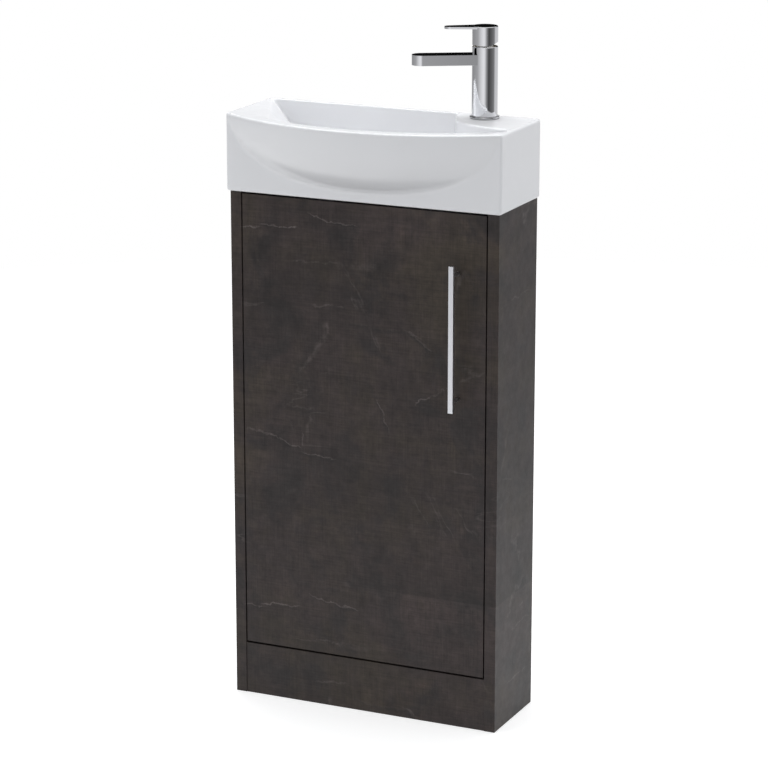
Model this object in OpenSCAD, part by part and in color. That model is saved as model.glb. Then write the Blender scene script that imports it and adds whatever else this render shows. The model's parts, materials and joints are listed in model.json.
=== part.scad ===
// Compact floor-standing cloakroom vanity unit.
// Origin: on the floor, at the middle of the width and of the depth over the basin's bow.
// +X is to the right seen from the front, -Y is to the front, +Z is up.
// The modules measure Y from the wall's plane; placed() moves them to the origin.

/* [Cabinet] */
// Width over both side panels
cab_w = 442; // [400:1:500]
// Depth of the side panels
cab_d = 147; // [140:1:170]
// Height of the side panels
cab_h = 805; // [740:1:860]
// Thickness of the cabinet boards
board = 18; // [16:1:19]
// Height of the plinth panel
plinth_h = 83; // [60:1:120]
// How far the plinth lies behind the door's face
plinth_setback = 1; // [0:0.5:10]
// Height of the front top rail
front_rail_h = 60; // [40:1:90]
// Height of the rear top rail
rear_rail_h = 100; // [80:1:140]
// Height of the rear bottom rail
low_rail_h = 60; // [40:1:90]
// Height of the shelf's top face
shelf_z = 458; // [400:1:520]
// Room behind the shelf for pipes
shelf_rear_gap = 30; // [24:1:40]
// Width of the shelf's pipe cut-out
shelf_cut_w = 120; // [80:1:160]
// Depth of the shelf's pipe cut-out
shelf_cut_d = 32; // [22:1:40]

/* [Door] */
// Thickness of the door
door_t = 18; // [16:1:19]
// Gap at each side of the door
door_side_gap = 2; // [1.5:0.1:3]
// Gap between plinth and door
door_low_gap = 3; // [2:0.5:5]
// Gap between door and basin
door_top_gap = 3; // [2:0.5:5]
// Gap behind the door
door_rear_gap = 2; // [2:0.1:3]

/* [Handle] */
// Length of the bar
bar_l = 223.5; // [200:0.5:300]
// Width of the bar's face
bar_w = 7.8; // [6:0.1:12]
// Thickness of the bar, front to back
bar_t = 7; // [5:0.5:10]
// Clear space between door and bar
bar_reach = 20; // [16:1:32]
// Distance between the posts
post_pitch = 192; // [160:16:192]
// Diameter of a post
post_d = 6; // [5.5:0.1:6]
// Distance from the door's right edge to the bar's middle
bar_edge = 45.1; // [30:0.1:60]
// Distance from the door's upper edge down to the bar's upper end
bar_drop = 74.1; // [68:0.1:200]

/* [Basin] */
// Width of the basin
basin_w = 451; // [440:1:470]
// Depth of the basin at its flat front
basin_d = 152; // [150:1:158]
// Height of the basin
basin_h = 120; // [110:0.5:130]
// Thickness of the ceramic
wall = 12; // [9:0.5:13]
// Radius of the upright corners
corner_r = 3; // [2:0.5:6]
// Radius of the front bow at the rim
bow_r = 380; // [376:1:390]
// Rim's furthest reach in front of the wall
bow_reach = 224; // [220:1:228]
// Height of the bulge's centre above the rim
bow_lift = 10; // [8:1:12]
// Radius of the bulge's upright section
bow_section_r = 127; // [125:1:130]
// Width of the front rim
rim_front = 22.5; // [20:0.5:26]
// Width of the back rim
rim_back = 9; // [8:0.5:9.5]
// Width of the right rim
rim_right = 9; // [8:0.5:12]
// Width of the left rim at the back
rim_left = 5; // [5:0.5:12]
// Angle of the bowl's left edge seen from above
left_turn = 25; // [20:0.5:30]
// Slope of the bowl's left wall from upright
left_slope = 40; // [30:1:45]
// Depth of the bowl
bowl_depth = 85; // [75:1:90]
// Radius between the bowl's walls and floor
bowl_fillet = 18; // [12:1:22]
// Radius of the tap ledge
ledge_r = 109; // [100:1:112]
// Distance from the ledge's centre to the basin's right side
ledge_in = 22; // [18:1:26]

/* [Tap] */
// Distance from the tap's axis to the basin's right side
tap_in = 79; // [74:1:86]
// Distance from the tap's axis to the wall
tap_y = 30; // [30:0.5:36]
// Direction of spout and lever, from +X
tap_turn = 210; // [195:0.5:230]
// Diameter of the hole in the basin
tap_hole_d = 35; // [33:1:35]
// Diameter of the body
tap_d = 38.5; // [38:0.1:40]
// Height of the body's top above the basin
tap_body_h = 107.6; // [104:0.1:114]
// Diameter of the base ring
ring_d = 45.4; // [44:0.1:50]
// Height of the base ring
ring_h = 3; // [3:0.5:6]
// Thickness of the base seal
seal_t = 0.5; // [0.5:0.1:2]
// Height of the spout's underside above the basin
spout_z = 80.8; // [76:0.1:84]
// Thickness of the spout
spout_t = 15.3; // [14:0.1:18]
// Width of the spout
spout_w = 29; // [26:0.1:30]
// Reach of the spout from the tap's axis
spout_reach = 109.2; // [100:0.1:120]
// Distance from the spout's tip to the aerator's axis
aerator_in = 17; // [15:0.5:20]
// Diameter of the aerator
aerator_d = 18; // [16:0.5:20]
// Gap between body and head
head_gap = 2; // [1.5:0.1:2.5]
// Height of the head and lever
head_h = 28.1; // [27:0.1:32]
// Reach of the lever from the tap's axis
lever_reach = 61; // [56:1:80]
// Width of the lever at its tip
lever_w = 19; // [16:1:24]
// Thickness of the lever
lever_t = 3.5; // [3:0.1:5]
// Lift of the lever, in degrees
lever_lift = 20; // [15:1:22]

/* [Waste] */
// Distance from the waste's axis to the wall
waste_y = 80; // [76:1:82]
// Offset of the waste's axis from the middle
waste_x = 0; // [-10:1:10]
// Diameter of the threaded tail
tail_d = 41.9; // [41:0.1:42]
// Bore of the tail
tail_bore = 35; // [32:0.5:36]
// Length of the waste below the bowl's floor
tail_l = 90; // [80:1:110]
// Diameter of the flange
flange_d = 62; // [60:1:66]
// Diameter of the push plug
plug_d = 60; // [56:1:62]

/* [Hinges] */
// Distance from the door's ends to the hinges
hinge_in = 90; // [70:1:120]
// Diameter of the hinge cup
cup_d = 35; // [35:1:35]
// Distance from the door's edge to the cup's axis
cup_in = 22; // [21.5:0.1:22.5]
// Depth of the cup in the door
cup_depth = 12; // [11.5:0.1:12.5]
// Diameter of the hinge pins
pin_d = 2.5; // [2:0.1:2.6]
// Radial clearance of a link on its pin
pin_play = 0.05; // [0.03:0.01:0.08]

/* [Hidden] */
$fn = 64;

slate = "#3b3836";
ceramic = "#f2f3f5";
chrome = "#c9ccd1";
steel = "#9a9da1";
satin = "#d6d7d9";
brass = "#b5954f";
rubber = "#2c2c2e";
plastic = "#e8e8e8";
timber = "#c9a97a";

// Cabinet
inner_x = cab_w / 2 - board;
face_y = -cab_d;
door_w = 2 * (inner_x - door_side_gap);
door_z0 = plinth_h + door_low_gap;
door_z1 = cab_h - door_top_gap;
door_back_y = face_y + door_t;
stop_y = door_back_y + door_rear_gap;
plinth_y = face_y + plinth_setback + board / 2;
front_rail_y = stop_y + board / 2;
rear_rail_y = -board / 2;
floor_z = plinth_h + board;

// Cam fittings: [y, z, direction of the face that takes the cam]
fit_in = 34;
cam_r = 7.5;
cam_l = 12.5;
cam_bolt_r = 3.5;
cam_bolt_grip = 11;
dowel_r = 4;
dowel_l = 30;
dowel_step = 25;
down = [0, 0, -1];
rear = [0, 1, 0];
ahead = [0, -1, 0];
fittings = [
    [stop_y + 30, plinth_h + board / 2, down],
    [-30, plinth_h + board / 2, down],
    [plinth_y, plinth_h / 2, rear],
    [front_rail_y, cab_h - front_rail_h / 2 - dowel_step / 2, rear],
    [rear_rail_y, cab_h - rear_rail_h / 2 - dowel_step / 2, ahead],
    [rear_rail_y, floor_z + low_rail_h / 2 - dowel_step / 2, ahead]
];

// Shelf pegs
peg_r = 2.5;
peg_grip = 9;
peg_pitch = 32;
peg_over = 1;
peg_reach = 8;
peg_front_y = stop_y + 22;
peg_rear_y = -shelf_rear_gap - 20;
shelf_play = 0.5;
shelf_cut_r = 20;

// Wall brackets
bracket_t = 2;
bracket_leg = 28;
bracket_w = 30;
bracket_z = cab_h - rear_rail_h - 25;
wall_hole_r = 2.75;
wall_hole_x = inner_x - 17;

// Handle
bar_x = inner_x - door_side_gap - bar_edge;
bar_mid_z = door_z1 - bar_drop - bar_l / 2;
bar_back_y = face_y - bar_reach;
handle_screw_r = 2;
handle_head_r = 4.2;
handle_head_t = 2.4;
handle_thread = 8;

// Buffers
buffer_r = 4;
buffer_play = 0.3;
buffer_t = door_rear_gap - buffer_play;

// Basin
basin_top = cab_h + basin_h;
bow_y = bow_r - bow_reach;
bow_major = bow_r - sqrt(bow_section_r * bow_section_r - bow_lift * bow_lift);
bowl_floor = basin_top - bowl_depth;
ledge_x = basin_w / 2 - ledge_in;
ledge_y = 2;
tap_x = basin_w / 2 - tap_in;

// Waste
recess_depth = 3;
flange_t = 3;
flange_seal_t = 1;
flange_z = bowl_floor - recess_depth + flange_seal_t;
tail_r = tail_d / 2;
waste_hole_r = tail_r + 1.5;
basin_under = bowl_floor - wall;
washer_t = 3;
nut_t = 9;
nut_play = 0.15;
backnut_z = basin_under - washer_t - nut_t;
groove_h = 2;
groove_t = 0.5;
tail_z = bowl_floor - tail_l;
spider_drop = 42;
spider_z = bowl_floor - spider_drop;
spider_t = 6;
stem_r = 3;
stem_play = 0.06;
plug_seal_t = 1.5;
plug_z = flange_z + flange_t + 0.2;

// Tap, above the basin's top
tap_r = tap_d / 2;
seat_r = tap_r - 2;
cartridge_h = 38;
seat_z = tap_body_h - cartridge_h;
inlet_r = 4.5;
inlet_l = 16;
inlet_x = 7.5;
inlet_y = -3;
water_r = 3;
stud_r = 4;
stud_y = 11;
stud_grip = 12;
stud_l = 46;
shoe_r = 20;
shoe_slot = 13;
shoe_slot_y = 4;
shoe_rubber_t = 3;
shoe_plate_t = 2;
nut_across = 13;
stud_nut_t = 6.5;
cart_play = 0.3;
cart_dome_z = tap_body_h + 0.9;
cart_dome_r = 12;
cart_nut_t = 7;
turret_z = cart_dome_z + 0.2;
turret_r = 9.5;
turret_h = 7.4;
turret_floor = 0.6;
pivot_z = turret_z + 4.2;
stem_w = 8;
stem_low = 2;
stem_top = pivot_z + 17;
slot_play = 0.2;
head_z = tap_body_h + head_gap;
head_top = head_z + head_h;
head_hollow_r = tap_r - 3.5;
head_hollow_top = head_z + 14;
lift_clear = 0.5;
grub_r = 2.5;
grub_z = head_top - lever_t - 5;
grub_l = 7;
grub_x = stem_w / 2;
cap_r = 3;
cap_t = 2;
cap_x = tap_r - cap_t - 0.4;
edge_r = 0.8;

// Hinge pivots in plan: x from the left panel's inner face, y behind the door's face
arm_pin_outer = [25.5, 30.5];
arm_pin_inner = [42, 23.5];
cup_pin = [12, 10];
inner_end = [18, 13];
link_bend = [[20, 8.3], [23.5, 8.8], [26, 11], [27.5, 14], [27.5, 22]];
link_half = 1;
eye_r = 2.6;
inner_half = 1.8;
link_z0 = 3.4;
link_z1 = 5.6;
inner_z = 3;
arm_z0 = 6;
arm_z1 = 7.5;
arm_half = 3.2;
arm_eye_r = 3.8;
cup_wall = 1;
cup_rim_r = cup_d / 2 + 1.5;
cup_rim_t = 0.8;
ear_z1 = 8.5;
notch_z = 5.9;
notch_depth = 4.5;
wing_x = 6;
wing_pitch = 48;
wing_w = 12;
cup_screw_r = 1.75;
cup_screw_head = 3.4;
cup_screw_l = 12;
plate_y = 39;
plate_pitch = 32;
plate_t = 3;
spine_x = 10;
spine_z = 5.8;
spine_y0 = -8;
spine_y1 = 32;
web_t = 1.5;
web_nose = [21, 38];
cheek_l = 6;
plate_screw_r = 2;
plate_screw_head = 3.8;
plate_screw_l = 15;
arm_screw_r = 3;
arm_screw_head = 4.2;
arm_screw_l = 7;
arm_screw_head_t = 1.6;
arm_screw_y = 20;
upper_z = door_z1 - hinge_in;
lower_z = door_z0 + hinge_in;
hinge_zs = [upper_z, lower_z];

module placed() {
    translate([0, bow_reach / 2, 0]) children();
}

// A board that spans [x0, x1], [y0, y1], [z0, z1]
module slab(x, y, z) {
    translate([x[0], y[0], z[0]])
        cube([x[1] - x[0], y[1] - y[0], z[1] - z[0]]);
}

// A round bar from one point to another along a unit direction
module rod(p, dir, r, l) {
    turn = dir[0] != 0 ? [0, 90 * dir[0], 0] : dir[1] != 0 ? [-90 * dir[1], 0, 0] : [dir[2] < 0 ? 180 : 0, 0, 0];
    translate(p) rotate(turn) cylinder(r = r, h = l);
}

module ring(r_out, r_in, z, h) {
    translate([0, 0, z]) difference() {
        cylinder(r = r_out, h = h);
        translate([0, 0, -1]) cylinder(r = r_in, h = h + 2);
    }
}

// A countersunk screw along +X, its head's face at x = 0
module flat_screw(r, head_r, l) {
    rotate([0, 90, 0]) {
        cylinder(r1 = head_r, r2 = r, h = head_r - r);
        cylinder(r = r, h = l);
    }
}

// A band in plan along a path, with mitred corners and square ends
function normal_at(path, i) = let (d = path[i + 1] - path[i]) [-d[1], d[0]] / norm(d);
function mitre_at(path, i) = let (
    a = normal_at(path, max(i - 1, 0)),
    b = normal_at(path, min(i, len(path) - 2))
) (a + b) / (1 + a * b);
module band(path, half) {
    last = len(path) - 1;
    polygon([
        for (i = [0:last]) path[i] + half * mitre_at(path, i),
        for (i = [0:last]) path[last - i] - half * mitre_at(path, last - i)
    ]);
}

// Carcass fittings

module cam_bodies() {
    for (f = fittings, s = [-1, 1])
        rod([s * (inner_x - fit_in), f[0], f[1]] + f[2] * board / 2, -f[2], cam_r, cam_l);
}

module cam_bolt_bodies() {
    for (f = fittings, s = [-1, 1])
        rod([s * (inner_x + cam_bolt_grip), f[0], f[1]], [-s, 0, 0], cam_bolt_r,
            cam_bolt_grip + fit_in - cam_r - 0.3);
}

// Each dowel lies beside its cam bolt, along the joint
module dowel_bodies() {
    for (f = fittings, s = [-1, 1]) {
        step = f[2] == down ? [0, -sign(f[0] + cab_d / 2) * dowel_step, 0] : [0, 0, dowel_step];
        rod([s * (inner_x + dowel_l / 3), f[0], f[1]] + step, [-s, 0, 0], dowel_r, dowel_l);
    }
}

module fitting_holes() {
    cam_bodies();
    cam_bolt_bodies();
    dowel_bodies();
}

module peg_holes() {
    for (s = [-1, 1], y = [peg_front_y, peg_rear_y], k = [-1, 0, 1])
        rod([s * (inner_x - peg_over), y, shelf_z - board - peg_r + peg_pitch * k],
            [s, 0, 0], peg_r, peg_grip + peg_over);
}

module bracket_screw_bodies() {
    for (s = [-1, 1])
        translate([s * (inner_x - bracket_t), -bracket_leg / 2 - bracket_t, bracket_z])
            rotate([0, 0, s > 0 ? 0 : 180]) flat_screw(plate_screw_r, plate_screw_head, plate_screw_l);
}

module side_panel(s) {
    color(slate) difference() {
        slab(s > 0 ? [inner_x, cab_w / 2] : [-cab_w / 2, -inner_x], [face_y, 0], [0, cab_h]);
        fitting_holes();
        peg_holes();
        bracket_screw_bodies();
        if (s < 0) plate_screw_bodies();
    }
}

module left_side_panel() { side_panel(-1); }

module right_side_panel() { side_panel(1); }

module bottom_panel() {
    color(slate) difference() {
        slab([-inner_x, inner_x], [stop_y, 0], [plinth_h, floor_z]);
        fitting_holes();
    }
}

module plinth_panel() {
    color(slate) difference() {
        slab([-inner_x, inner_x], [plinth_y - board / 2, plinth_y + board / 2], [0, plinth_h]);
        fitting_holes();
    }
}

module front_top_rail() {
    color(slate) difference() {
        slab([-inner_x, inner_x], [stop_y, stop_y + board], [cab_h - front_rail_h, cab_h]);
        fitting_holes();
    }
}

module rear_top_rail() {
    color(slate) difference() {
        slab([-inner_x, inner_x], [-board, 0], [cab_h - rear_rail_h, cab_h]);
        fitting_holes();
    }
}

module rear_bottom_rail() {
    color(slate) difference() {
        slab([-inner_x, inner_x], [-board, 0], [floor_z, floor_z + low_rail_h]);
        fitting_holes();
    }
}

module shelf() {
    half = shelf_cut_w / 2;
    rear_y = -shelf_rear_gap;
    color(slate) difference() {
        slab([-inner_x + shelf_play, inner_x - shelf_play], [stop_y + 3, rear_y], [shelf_z - board, shelf_z]);
        translate([0, 0, shelf_z - board - 1]) linear_extrude(board + 2) {
            translate([-half, rear_y - shelf_cut_d + shelf_cut_r]) square([shelf_cut_w, shelf_cut_d]);
            translate([-half + shelf_cut_r, rear_y - shelf_cut_d])
                square([shelf_cut_w - 2 * shelf_cut_r, shelf_cut_d + 1]);
            for (s = [-1, 1]) translate([s * (half - shelf_cut_r), rear_y - shelf_cut_d + shelf_cut_r])
                circle(r = shelf_cut_r);
        }
    }
}

module shelf_pegs() {
    color(steel) for (s = [-1, 1], y = [peg_front_y, peg_rear_y])
        translate([0, y, shelf_z - board - peg_r]) {
            rod([s * (inner_x + peg_grip), 0, 0], [-s, 0, 0], peg_r, peg_grip + peg_reach);
            rod([s * inner_x, 0, 0], [-s, 0, 0], peg_r + 1, shelf_play - 0.1);
        }
}

module cam_locks() {
    slot = 1.2;
    color(steel) for (f = fittings, s = [-1, 1])
        difference() {
            rod([s * (inner_x - fit_in), f[0], f[1]] + f[2] * board / 2, -f[2], cam_r, cam_l);
            translate([s * (inner_x - fit_in), f[0], f[1]] + f[2] * board / 2)
                cube([2 * slot, f[2] == down ? cam_r : 2 * slot, f[2] == down ? 2 * slot : cam_r], center = true);
        }
}

module cam_bolts() { color(steel) cam_bolt_bodies(); }

module dowels() { color(timber) dowel_bodies(); }

module wall_brackets() {
    color(steel) for (s = [-1, 1]) difference() {
        union() {
            slab(s > 0 ? [inner_x - bracket_leg, inner_x] : [-inner_x, -inner_x + bracket_leg],
                [-bracket_t, 0], [bracket_z - bracket_w / 2, bracket_z + bracket_w / 2]);
            slab(s > 0 ? [inner_x - bracket_t, inner_x] : [-inner_x, -inner_x + bracket_t],
                [-bracket_leg, 0], [bracket_z - bracket_w / 2, bracket_z + bracket_w / 2]);
        }
        rod([s * wall_hole_x, -bracket_t - 1, bracket_z], [0, 1, 0], wall_hole_r, bracket_t + 2);
        bracket_screw_bodies();
    }
}

module bracket_screws() { color(steel) bracket_screw_bodies(); }

// Door and handle

module handle_screw_bodies() {
    for (k = [-1, 1]) {
        rod([bar_x, door_back_y, bar_mid_z + k * post_pitch / 2], [0, -1, 0], handle_screw_r,
            door_t + handle_thread);
        rod([bar_x, door_back_y, bar_mid_z + k * post_pitch / 2], [0, 1, 0], handle_head_r, handle_head_t);
    }
}

module door() {
    color(slate) difference() {
        slab([-door_w / 2, door_w / 2], [face_y, door_back_y], [door_z0, door_z1]);
        handle_screw_bodies();
        cup_screw_bodies();
        for (z = hinge_zs) at_hinge(z)
            rod([door_side_gap + cup_in, door_t - cup_depth, 0], [0, 1, 0], cup_d / 2, cup_depth + 1);
    }
}

module door_buffers() {
    x = inner_x - 20;
    color(plastic) {
        rod([x, stop_y, cab_h - front_rail_h / 2], [0, -1, 0], buffer_r, buffer_t);
        rod([x, stop_y, plinth_h + board / 2 + 2], [0, -1, 0], buffer_r, buffer_t);
    }
}

module handle_bar() {
    color(satin)
        slab([bar_x - bar_w / 2, bar_x + bar_w / 2], [bar_back_y - bar_t, bar_back_y],
            [bar_mid_z - bar_l / 2, bar_mid_z + bar_l / 2]);
}

module handle_posts() {
    color(satin) difference() {
        for (k = [-1, 1])
            rod([bar_x, face_y, bar_mid_z + k * post_pitch / 2], [0, -1, 0], post_d / 2, bar_reach);
        handle_screw_bodies();
    }
}

module handle_screws() { color(steel) handle_screw_bodies(); }

// Concealed hinges, drawn in plan from the panel's inner face and the door's face

module at_hinge(z) {
    translate([-inner_x, face_y, z]) children();
}

// Both leaves of a part that has one at each side of the links
module leaves(z0, z1) {
    translate([0, 0, z0]) linear_extrude(z1 - z0) children();
    translate([0, 0, -z1]) linear_extrude(z1 - z0) children();
}

module plate_screw_bodies() {
    for (z = hinge_zs, k = [-1, 1]) at_hinge(z)
        translate([plate_t, door_t + plate_y, k * plate_pitch / 2])
            rotate([0, 0, 180]) flat_screw(plate_screw_r, plate_screw_head, plate_screw_l);
}

module cup_screw_bodies() {
    for (z = hinge_zs, k = [-1, 1]) at_hinge(z)
        translate([door_side_gap + cup_in + wing_x, door_t + cup_rim_t, k * wing_pitch / 2])
            rotate([0, 0, -90]) flat_screw(cup_screw_r, cup_screw_head, cup_screw_l);
}

module arm_screw_bodies() {
    for (z = hinge_zs) at_hinge(z)
        translate([spine_x + web_t, door_t + plate_y + arm_screw_y, 0])
            rotate([0, 90, 0]) {
                cylinder(r = arm_screw_head, h = arm_screw_head_t);
                translate([0, 0, -arm_screw_l]) cylinder(r = arm_screw_r, h = arm_screw_l);
            }
}

module hinge_plate(z) {
    y = door_t + plate_y;
    color(steel) difference() {
        at_hinge(z) {
            slab([0, plate_t], [y - 7, y + 7], [-plate_pitch / 2 - 8, plate_pitch / 2 + 8]);
            slab([0, spine_x], [y + spine_y0, y + spine_y1], [-spine_z, spine_z]);
        }
        plate_screw_bodies();
        arm_screw_bodies();
    }
}

module upper_hinge_plate() { hinge_plate(upper_z); }

module lower_hinge_plate() { hinge_plate(lower_z); }

// The arm is a channel over the plate's spine; its cheeks crank in to carry both arm pins
module hinge_arm(z) {
    y = door_t + plate_y;
    y0 = y + spine_y0;
    knee = [spine_x - 2.5, y0 + 4];
    color(steel) difference() {
        at_hinge(z) {
            leaves(arm_z0, arm_z1) {
                translate([spine_x - cheek_l, y0]) square([cheek_l + web_t, spine_y1 - spine_y0]);
                band([knee, arm_pin_outer, arm_pin_inner], arm_half);
                translate(arm_pin_outer) circle(r = arm_eye_r);
                translate(arm_pin_inner) circle(r = arm_eye_r);
            }
            slab([spine_x, spine_x + web_t], [y0, y + spine_y1], [-arm_z1, arm_z1]);
            translate([0, 0, -arm_z1]) linear_extrude(2 * arm_z1)
                band([[spine_x + web_t / 2, y0 + 3], web_nose], web_t / 2);
        }
        arm_screw_bodies();
        arm_pin_bodies();
    }
}

module arm_pin_bodies() {
    for (z = hinge_zs, p = [arm_pin_outer, arm_pin_inner]) at_hinge(z)
        translate([p[0], p[1], -arm_z1]) cylinder(r = pin_d / 2, h = 2 * arm_z1);
}

module upper_hinge_arm() { hinge_arm(upper_z); }

module lower_hinge_arm() { hinge_arm(lower_z); }

// The outer link is bent round the door's edge, so that it clears the edge when the door is open
module outer_link(z) {
    path = concat([cup_pin], link_bend, [arm_pin_outer]);
    bore = pin_d / 2 + pin_play;
    color(steel) at_hinge(z) difference() {
        union() {
            leaves(link_z0, link_z1) {
                band(path, link_half);
                translate(cup_pin) circle(r = eye_r);
                translate(arm_pin_outer) circle(r = eye_r);
            }
            translate([arm_pin_outer[0], arm_pin_outer[1], -link_z0 - 1]) cylinder(r = eye_r - 0.3, h = 2 * link_z0 + 2);
        }
        for (p = [cup_pin, arm_pin_outer])
            translate([p[0], p[1], -link_z1 - 1]) cylinder(r = bore, h = 2 * link_z1 + 2);
    }
}

module upper_outer_link() { outer_link(upper_z); }

module lower_outer_link() { outer_link(lower_z); }

module inner_link(z) {
    bore = pin_d / 2 + pin_play;
    color(steel) at_hinge(z) translate([0, 0, -inner_z]) difference() {
        union() {
            linear_extrude(2 * inner_z) band([inner_end, arm_pin_inner], inner_half);
            for (p = [inner_end, arm_pin_inner]) translate(p) cylinder(r = eye_r, h = 2 * inner_z);
        }
        for (p = [inner_end, arm_pin_inner])
            translate([p[0], p[1], -1]) cylinder(r = bore, h = 2 * inner_z + 2);
    }
}

module upper_inner_link() { inner_link(upper_z); }

module lower_inner_link() { inner_link(lower_z); }

module hinge_arm_pins() { color(steel) arm_pin_bodies(); }

module cup_pin_bodies() {
    for (z = hinge_zs) at_hinge(z)
        translate([cup_pin[0], cup_pin[1], -ear_z1]) cylinder(r = pin_d / 2, h = 2 * ear_z1);
}

module hinge_cup_pins() { color(steel) cup_pin_bodies(); }

// The cup's wall is notched where the links pass over it when the door is open
module hinge_cup(z) {
    x = door_side_gap + cup_in;
    low = door_t - cup_depth;
    color(steel) difference() {
        at_hinge(z) {
            difference() {
                union() {
                    rod([x, low, 0], [0, 1, 0], cup_d / 2, cup_depth);
                    rod([x, door_t, 0], [0, 1, 0], cup_rim_r, cup_rim_t);
                    slab([x + wing_x - wing_w / 2, x + wing_x + wing_w / 2], [door_t, door_t + cup_rim_t],
                        [-wing_pitch / 2 - 6, wing_pitch / 2 + 6]);
                }
                rod([x, low + cup_wall, 0], [0, 1, 0], cup_d / 2 - cup_wall, cup_depth + 2);
            }
            intersection() {
                rod([x, low, 0], [0, 1, 0], cup_d / 2, cup_depth);
                for (s = [-1, 1])
                    slab([x - cup_d / 2, cup_pin[0] + 2.5], [low, cup_pin[1] + 2.5],
                        s > 0 ? [arm_z0, ear_z1] : [-ear_z1, -arm_z0]);
            }
        }
        at_hinge(z) slab([x - cup_rim_r - 1, cup_pin[0] + 1], [door_t - notch_depth, door_t + 2], [-notch_z, notch_z]);
        cup_pin_bodies();
        cup_screw_bodies();
    }
}

module upper_hinge_cup() { hinge_cup(upper_z); }

module lower_hinge_cup() { hinge_cup(lower_z); }

module hinge_plate_screws() { color(steel) plate_screw_bodies(); }

module hinge_cup_screws() { color(steel) cup_screw_bodies(); }

module hinge_arm_screws() { color(steel) arm_screw_bodies(); }

// Basin

// Barrel with the bow's curve, round the upright axis behind the wall
module bow_barrel(section_r) {
    translate([0, bow_y, basin_top + bow_lift]) rotate_extrude($fn = 180) {
        translate([0, -section_r]) square([bow_major, 2 * section_r]);
        intersection() {
            translate([bow_major, 0]) circle(r = section_r, $fn = 180);
            translate([bow_major - 1, -section_r]) square([section_r + 1, 2 * section_r]);
        }
    }
}

// Box in plan with round upright corners, then the bulge; a positive inset gives the hollow inside
module basin_shell(inset) {
    half = basin_w / 2 - inset;
    back = inset > 0 ? -rim_back : 0;
    front = -basin_d + inset;
    low = inset > 0 ? cab_h - 1 : cab_h;
    top = basin_top - inset;
    r = corner_r;
    translate([0, 0, low]) linear_extrude(top - low) {
        translate([-half, front + r]) square([2 * half, back - front - 2 * r]);
        translate([-half + r, front]) square([2 * half - 2 * r, back - front]);
        for (x = [-half + r, half - r], y = [front + r, back - r]) translate([x, y]) circle(r = r);
    }
    intersection() {
        bow_barrel(bow_section_r - inset);
        slab([-half, half], [-bow_reach - 10, front + 2 * r], [low, top]);
    }
}

// The bowl's hollow; grow adds the ceramic's thickness all round
module bowl(grow) {
    back = -rim_back + grow;
    low = bowl_floor - grow;
    r = bowl_fillet + grow;
    reach = bow_reach + 20;
    high = basin_top + 5;
    right = basin_w / 2 - rim_right + grow;
    difference() {
        intersection() {
            bow_barrel(bow_section_r - rim_front + grow);
            translate([-basin_w, 0, 0]) rotate([90, 0, 90]) linear_extrude(basin_w + right) {
                translate([-reach, low + r]) square([reach + back, high - low - r]);
                translate([-reach, low]) square([reach + back - r, high - low]);
                translate([back - r, low + r]) circle(r = r);
            }
            translate([-basin_w / 2 + rim_left, -rim_back, basin_top]) rotate([0, 0, left_turn])
                rotate([0, -left_slope, 0]) translate([-grow, -basin_w, -basin_w])
                    cube([2 * basin_w, 2 * basin_w, 2 * basin_w]);
        }
        tap_ledge(grow);
    }
}

// Round ledge for the tap, with a cove where it meets the bowl's floor
module tap_ledge(grow) {
    r = ledge_r - grow;
    cove = bowl_fillet + grow;
    low = bowl_floor - grow;
    translate([ledge_x, ledge_y, low]) {
        translate([0, 0, -5]) cylinder(r = r, h = bowl_depth + grow + 20, $fn = 120);
        rotate_extrude($fn = 120) difference() {
            translate([r - 1, -5]) square([cove + 1, cove + 5]);
            translate([r + cove, cove]) circle(r = cove);
        }
    }
}

module basin() {
    color(ceramic) difference() {
        basin_shell(0);
        bowl(0);
        difference() {
            basin_shell(wall);
            bowl(wall);
        }
        translate([tap_x, -tap_y, basin_top - wall - 1]) cylinder(r = tap_hole_d / 2, h = wall + 2);
        translate([waste_x, -waste_y, 0]) {
            translate([0, 0, basin_under - 1]) cylinder(r = waste_hole_r, h = wall + 2);
            translate([0, 0, bowl_floor - recess_depth]) cylinder(r = flange_d / 2 + 1, h = recess_depth + 1);
        }
    }
}

// Waste

module at_waste() {
    translate([waste_x, -waste_y, 0]) children();
}

module waste_body() {
    color(chrome) at_waste() {
        ring(flange_d / 2, tail_bore / 2, flange_z, flange_t);
        difference() {
            ring(tail_r, tail_bore / 2, tail_z, flange_z - tail_z + 1);
            ring(tail_r + 1, tail_r - groove_t, backnut_z - groove_h, groove_h);
        }
        difference() {
            union() {
                for (a = [0, 90]) translate([0, 0, spider_z]) rotate([0, 0, a])
                    translate([-tail_bore / 2 - 1, -2, 0]) cube([tail_bore + 2, 4, spider_t]);
                translate([0, 0, spider_z]) cylinder(r = stem_r + 2.5, h = spider_t);
            }
            translate([0, 0, spider_z - 1]) cylinder(r = stem_r + stem_play, h = spider_t + 2);
        }
    }
}

module waste_flange_seal() {
    color(rubber) at_waste()
        ring(flange_d / 2 - 1, tail_r + 0.2, flange_z - flange_seal_t, flange_seal_t);
}

module waste_plug() {
    z = plug_z + plug_seal_t;
    color(chrome) at_waste() {
        translate([0, 0, z]) {
            cylinder(r = plug_d / 2, h = 2);
            translate([0, 0, 2]) cylinder(r1 = plug_d / 2, r2 = plug_d / 2 - 6, h = 2.5);
        }
        translate([0, 0, spider_z - 8]) cylinder(r = stem_r, h = z - spider_z + 9);
        translate([0, 0, z - 6]) cylinder(r = tail_bore / 2 - 3, h = 6.5);
    }
}

module plug_seal() {
    color(rubber) at_waste() ring(tail_bore / 2 + 4, tail_bore / 2 - 2.9, plug_z, plug_seal_t);
}

module waste_washer() {
    color(rubber) at_waste() ring(flange_d / 2, tail_r + nut_play, basin_under - washer_t, washer_t);
}

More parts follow.
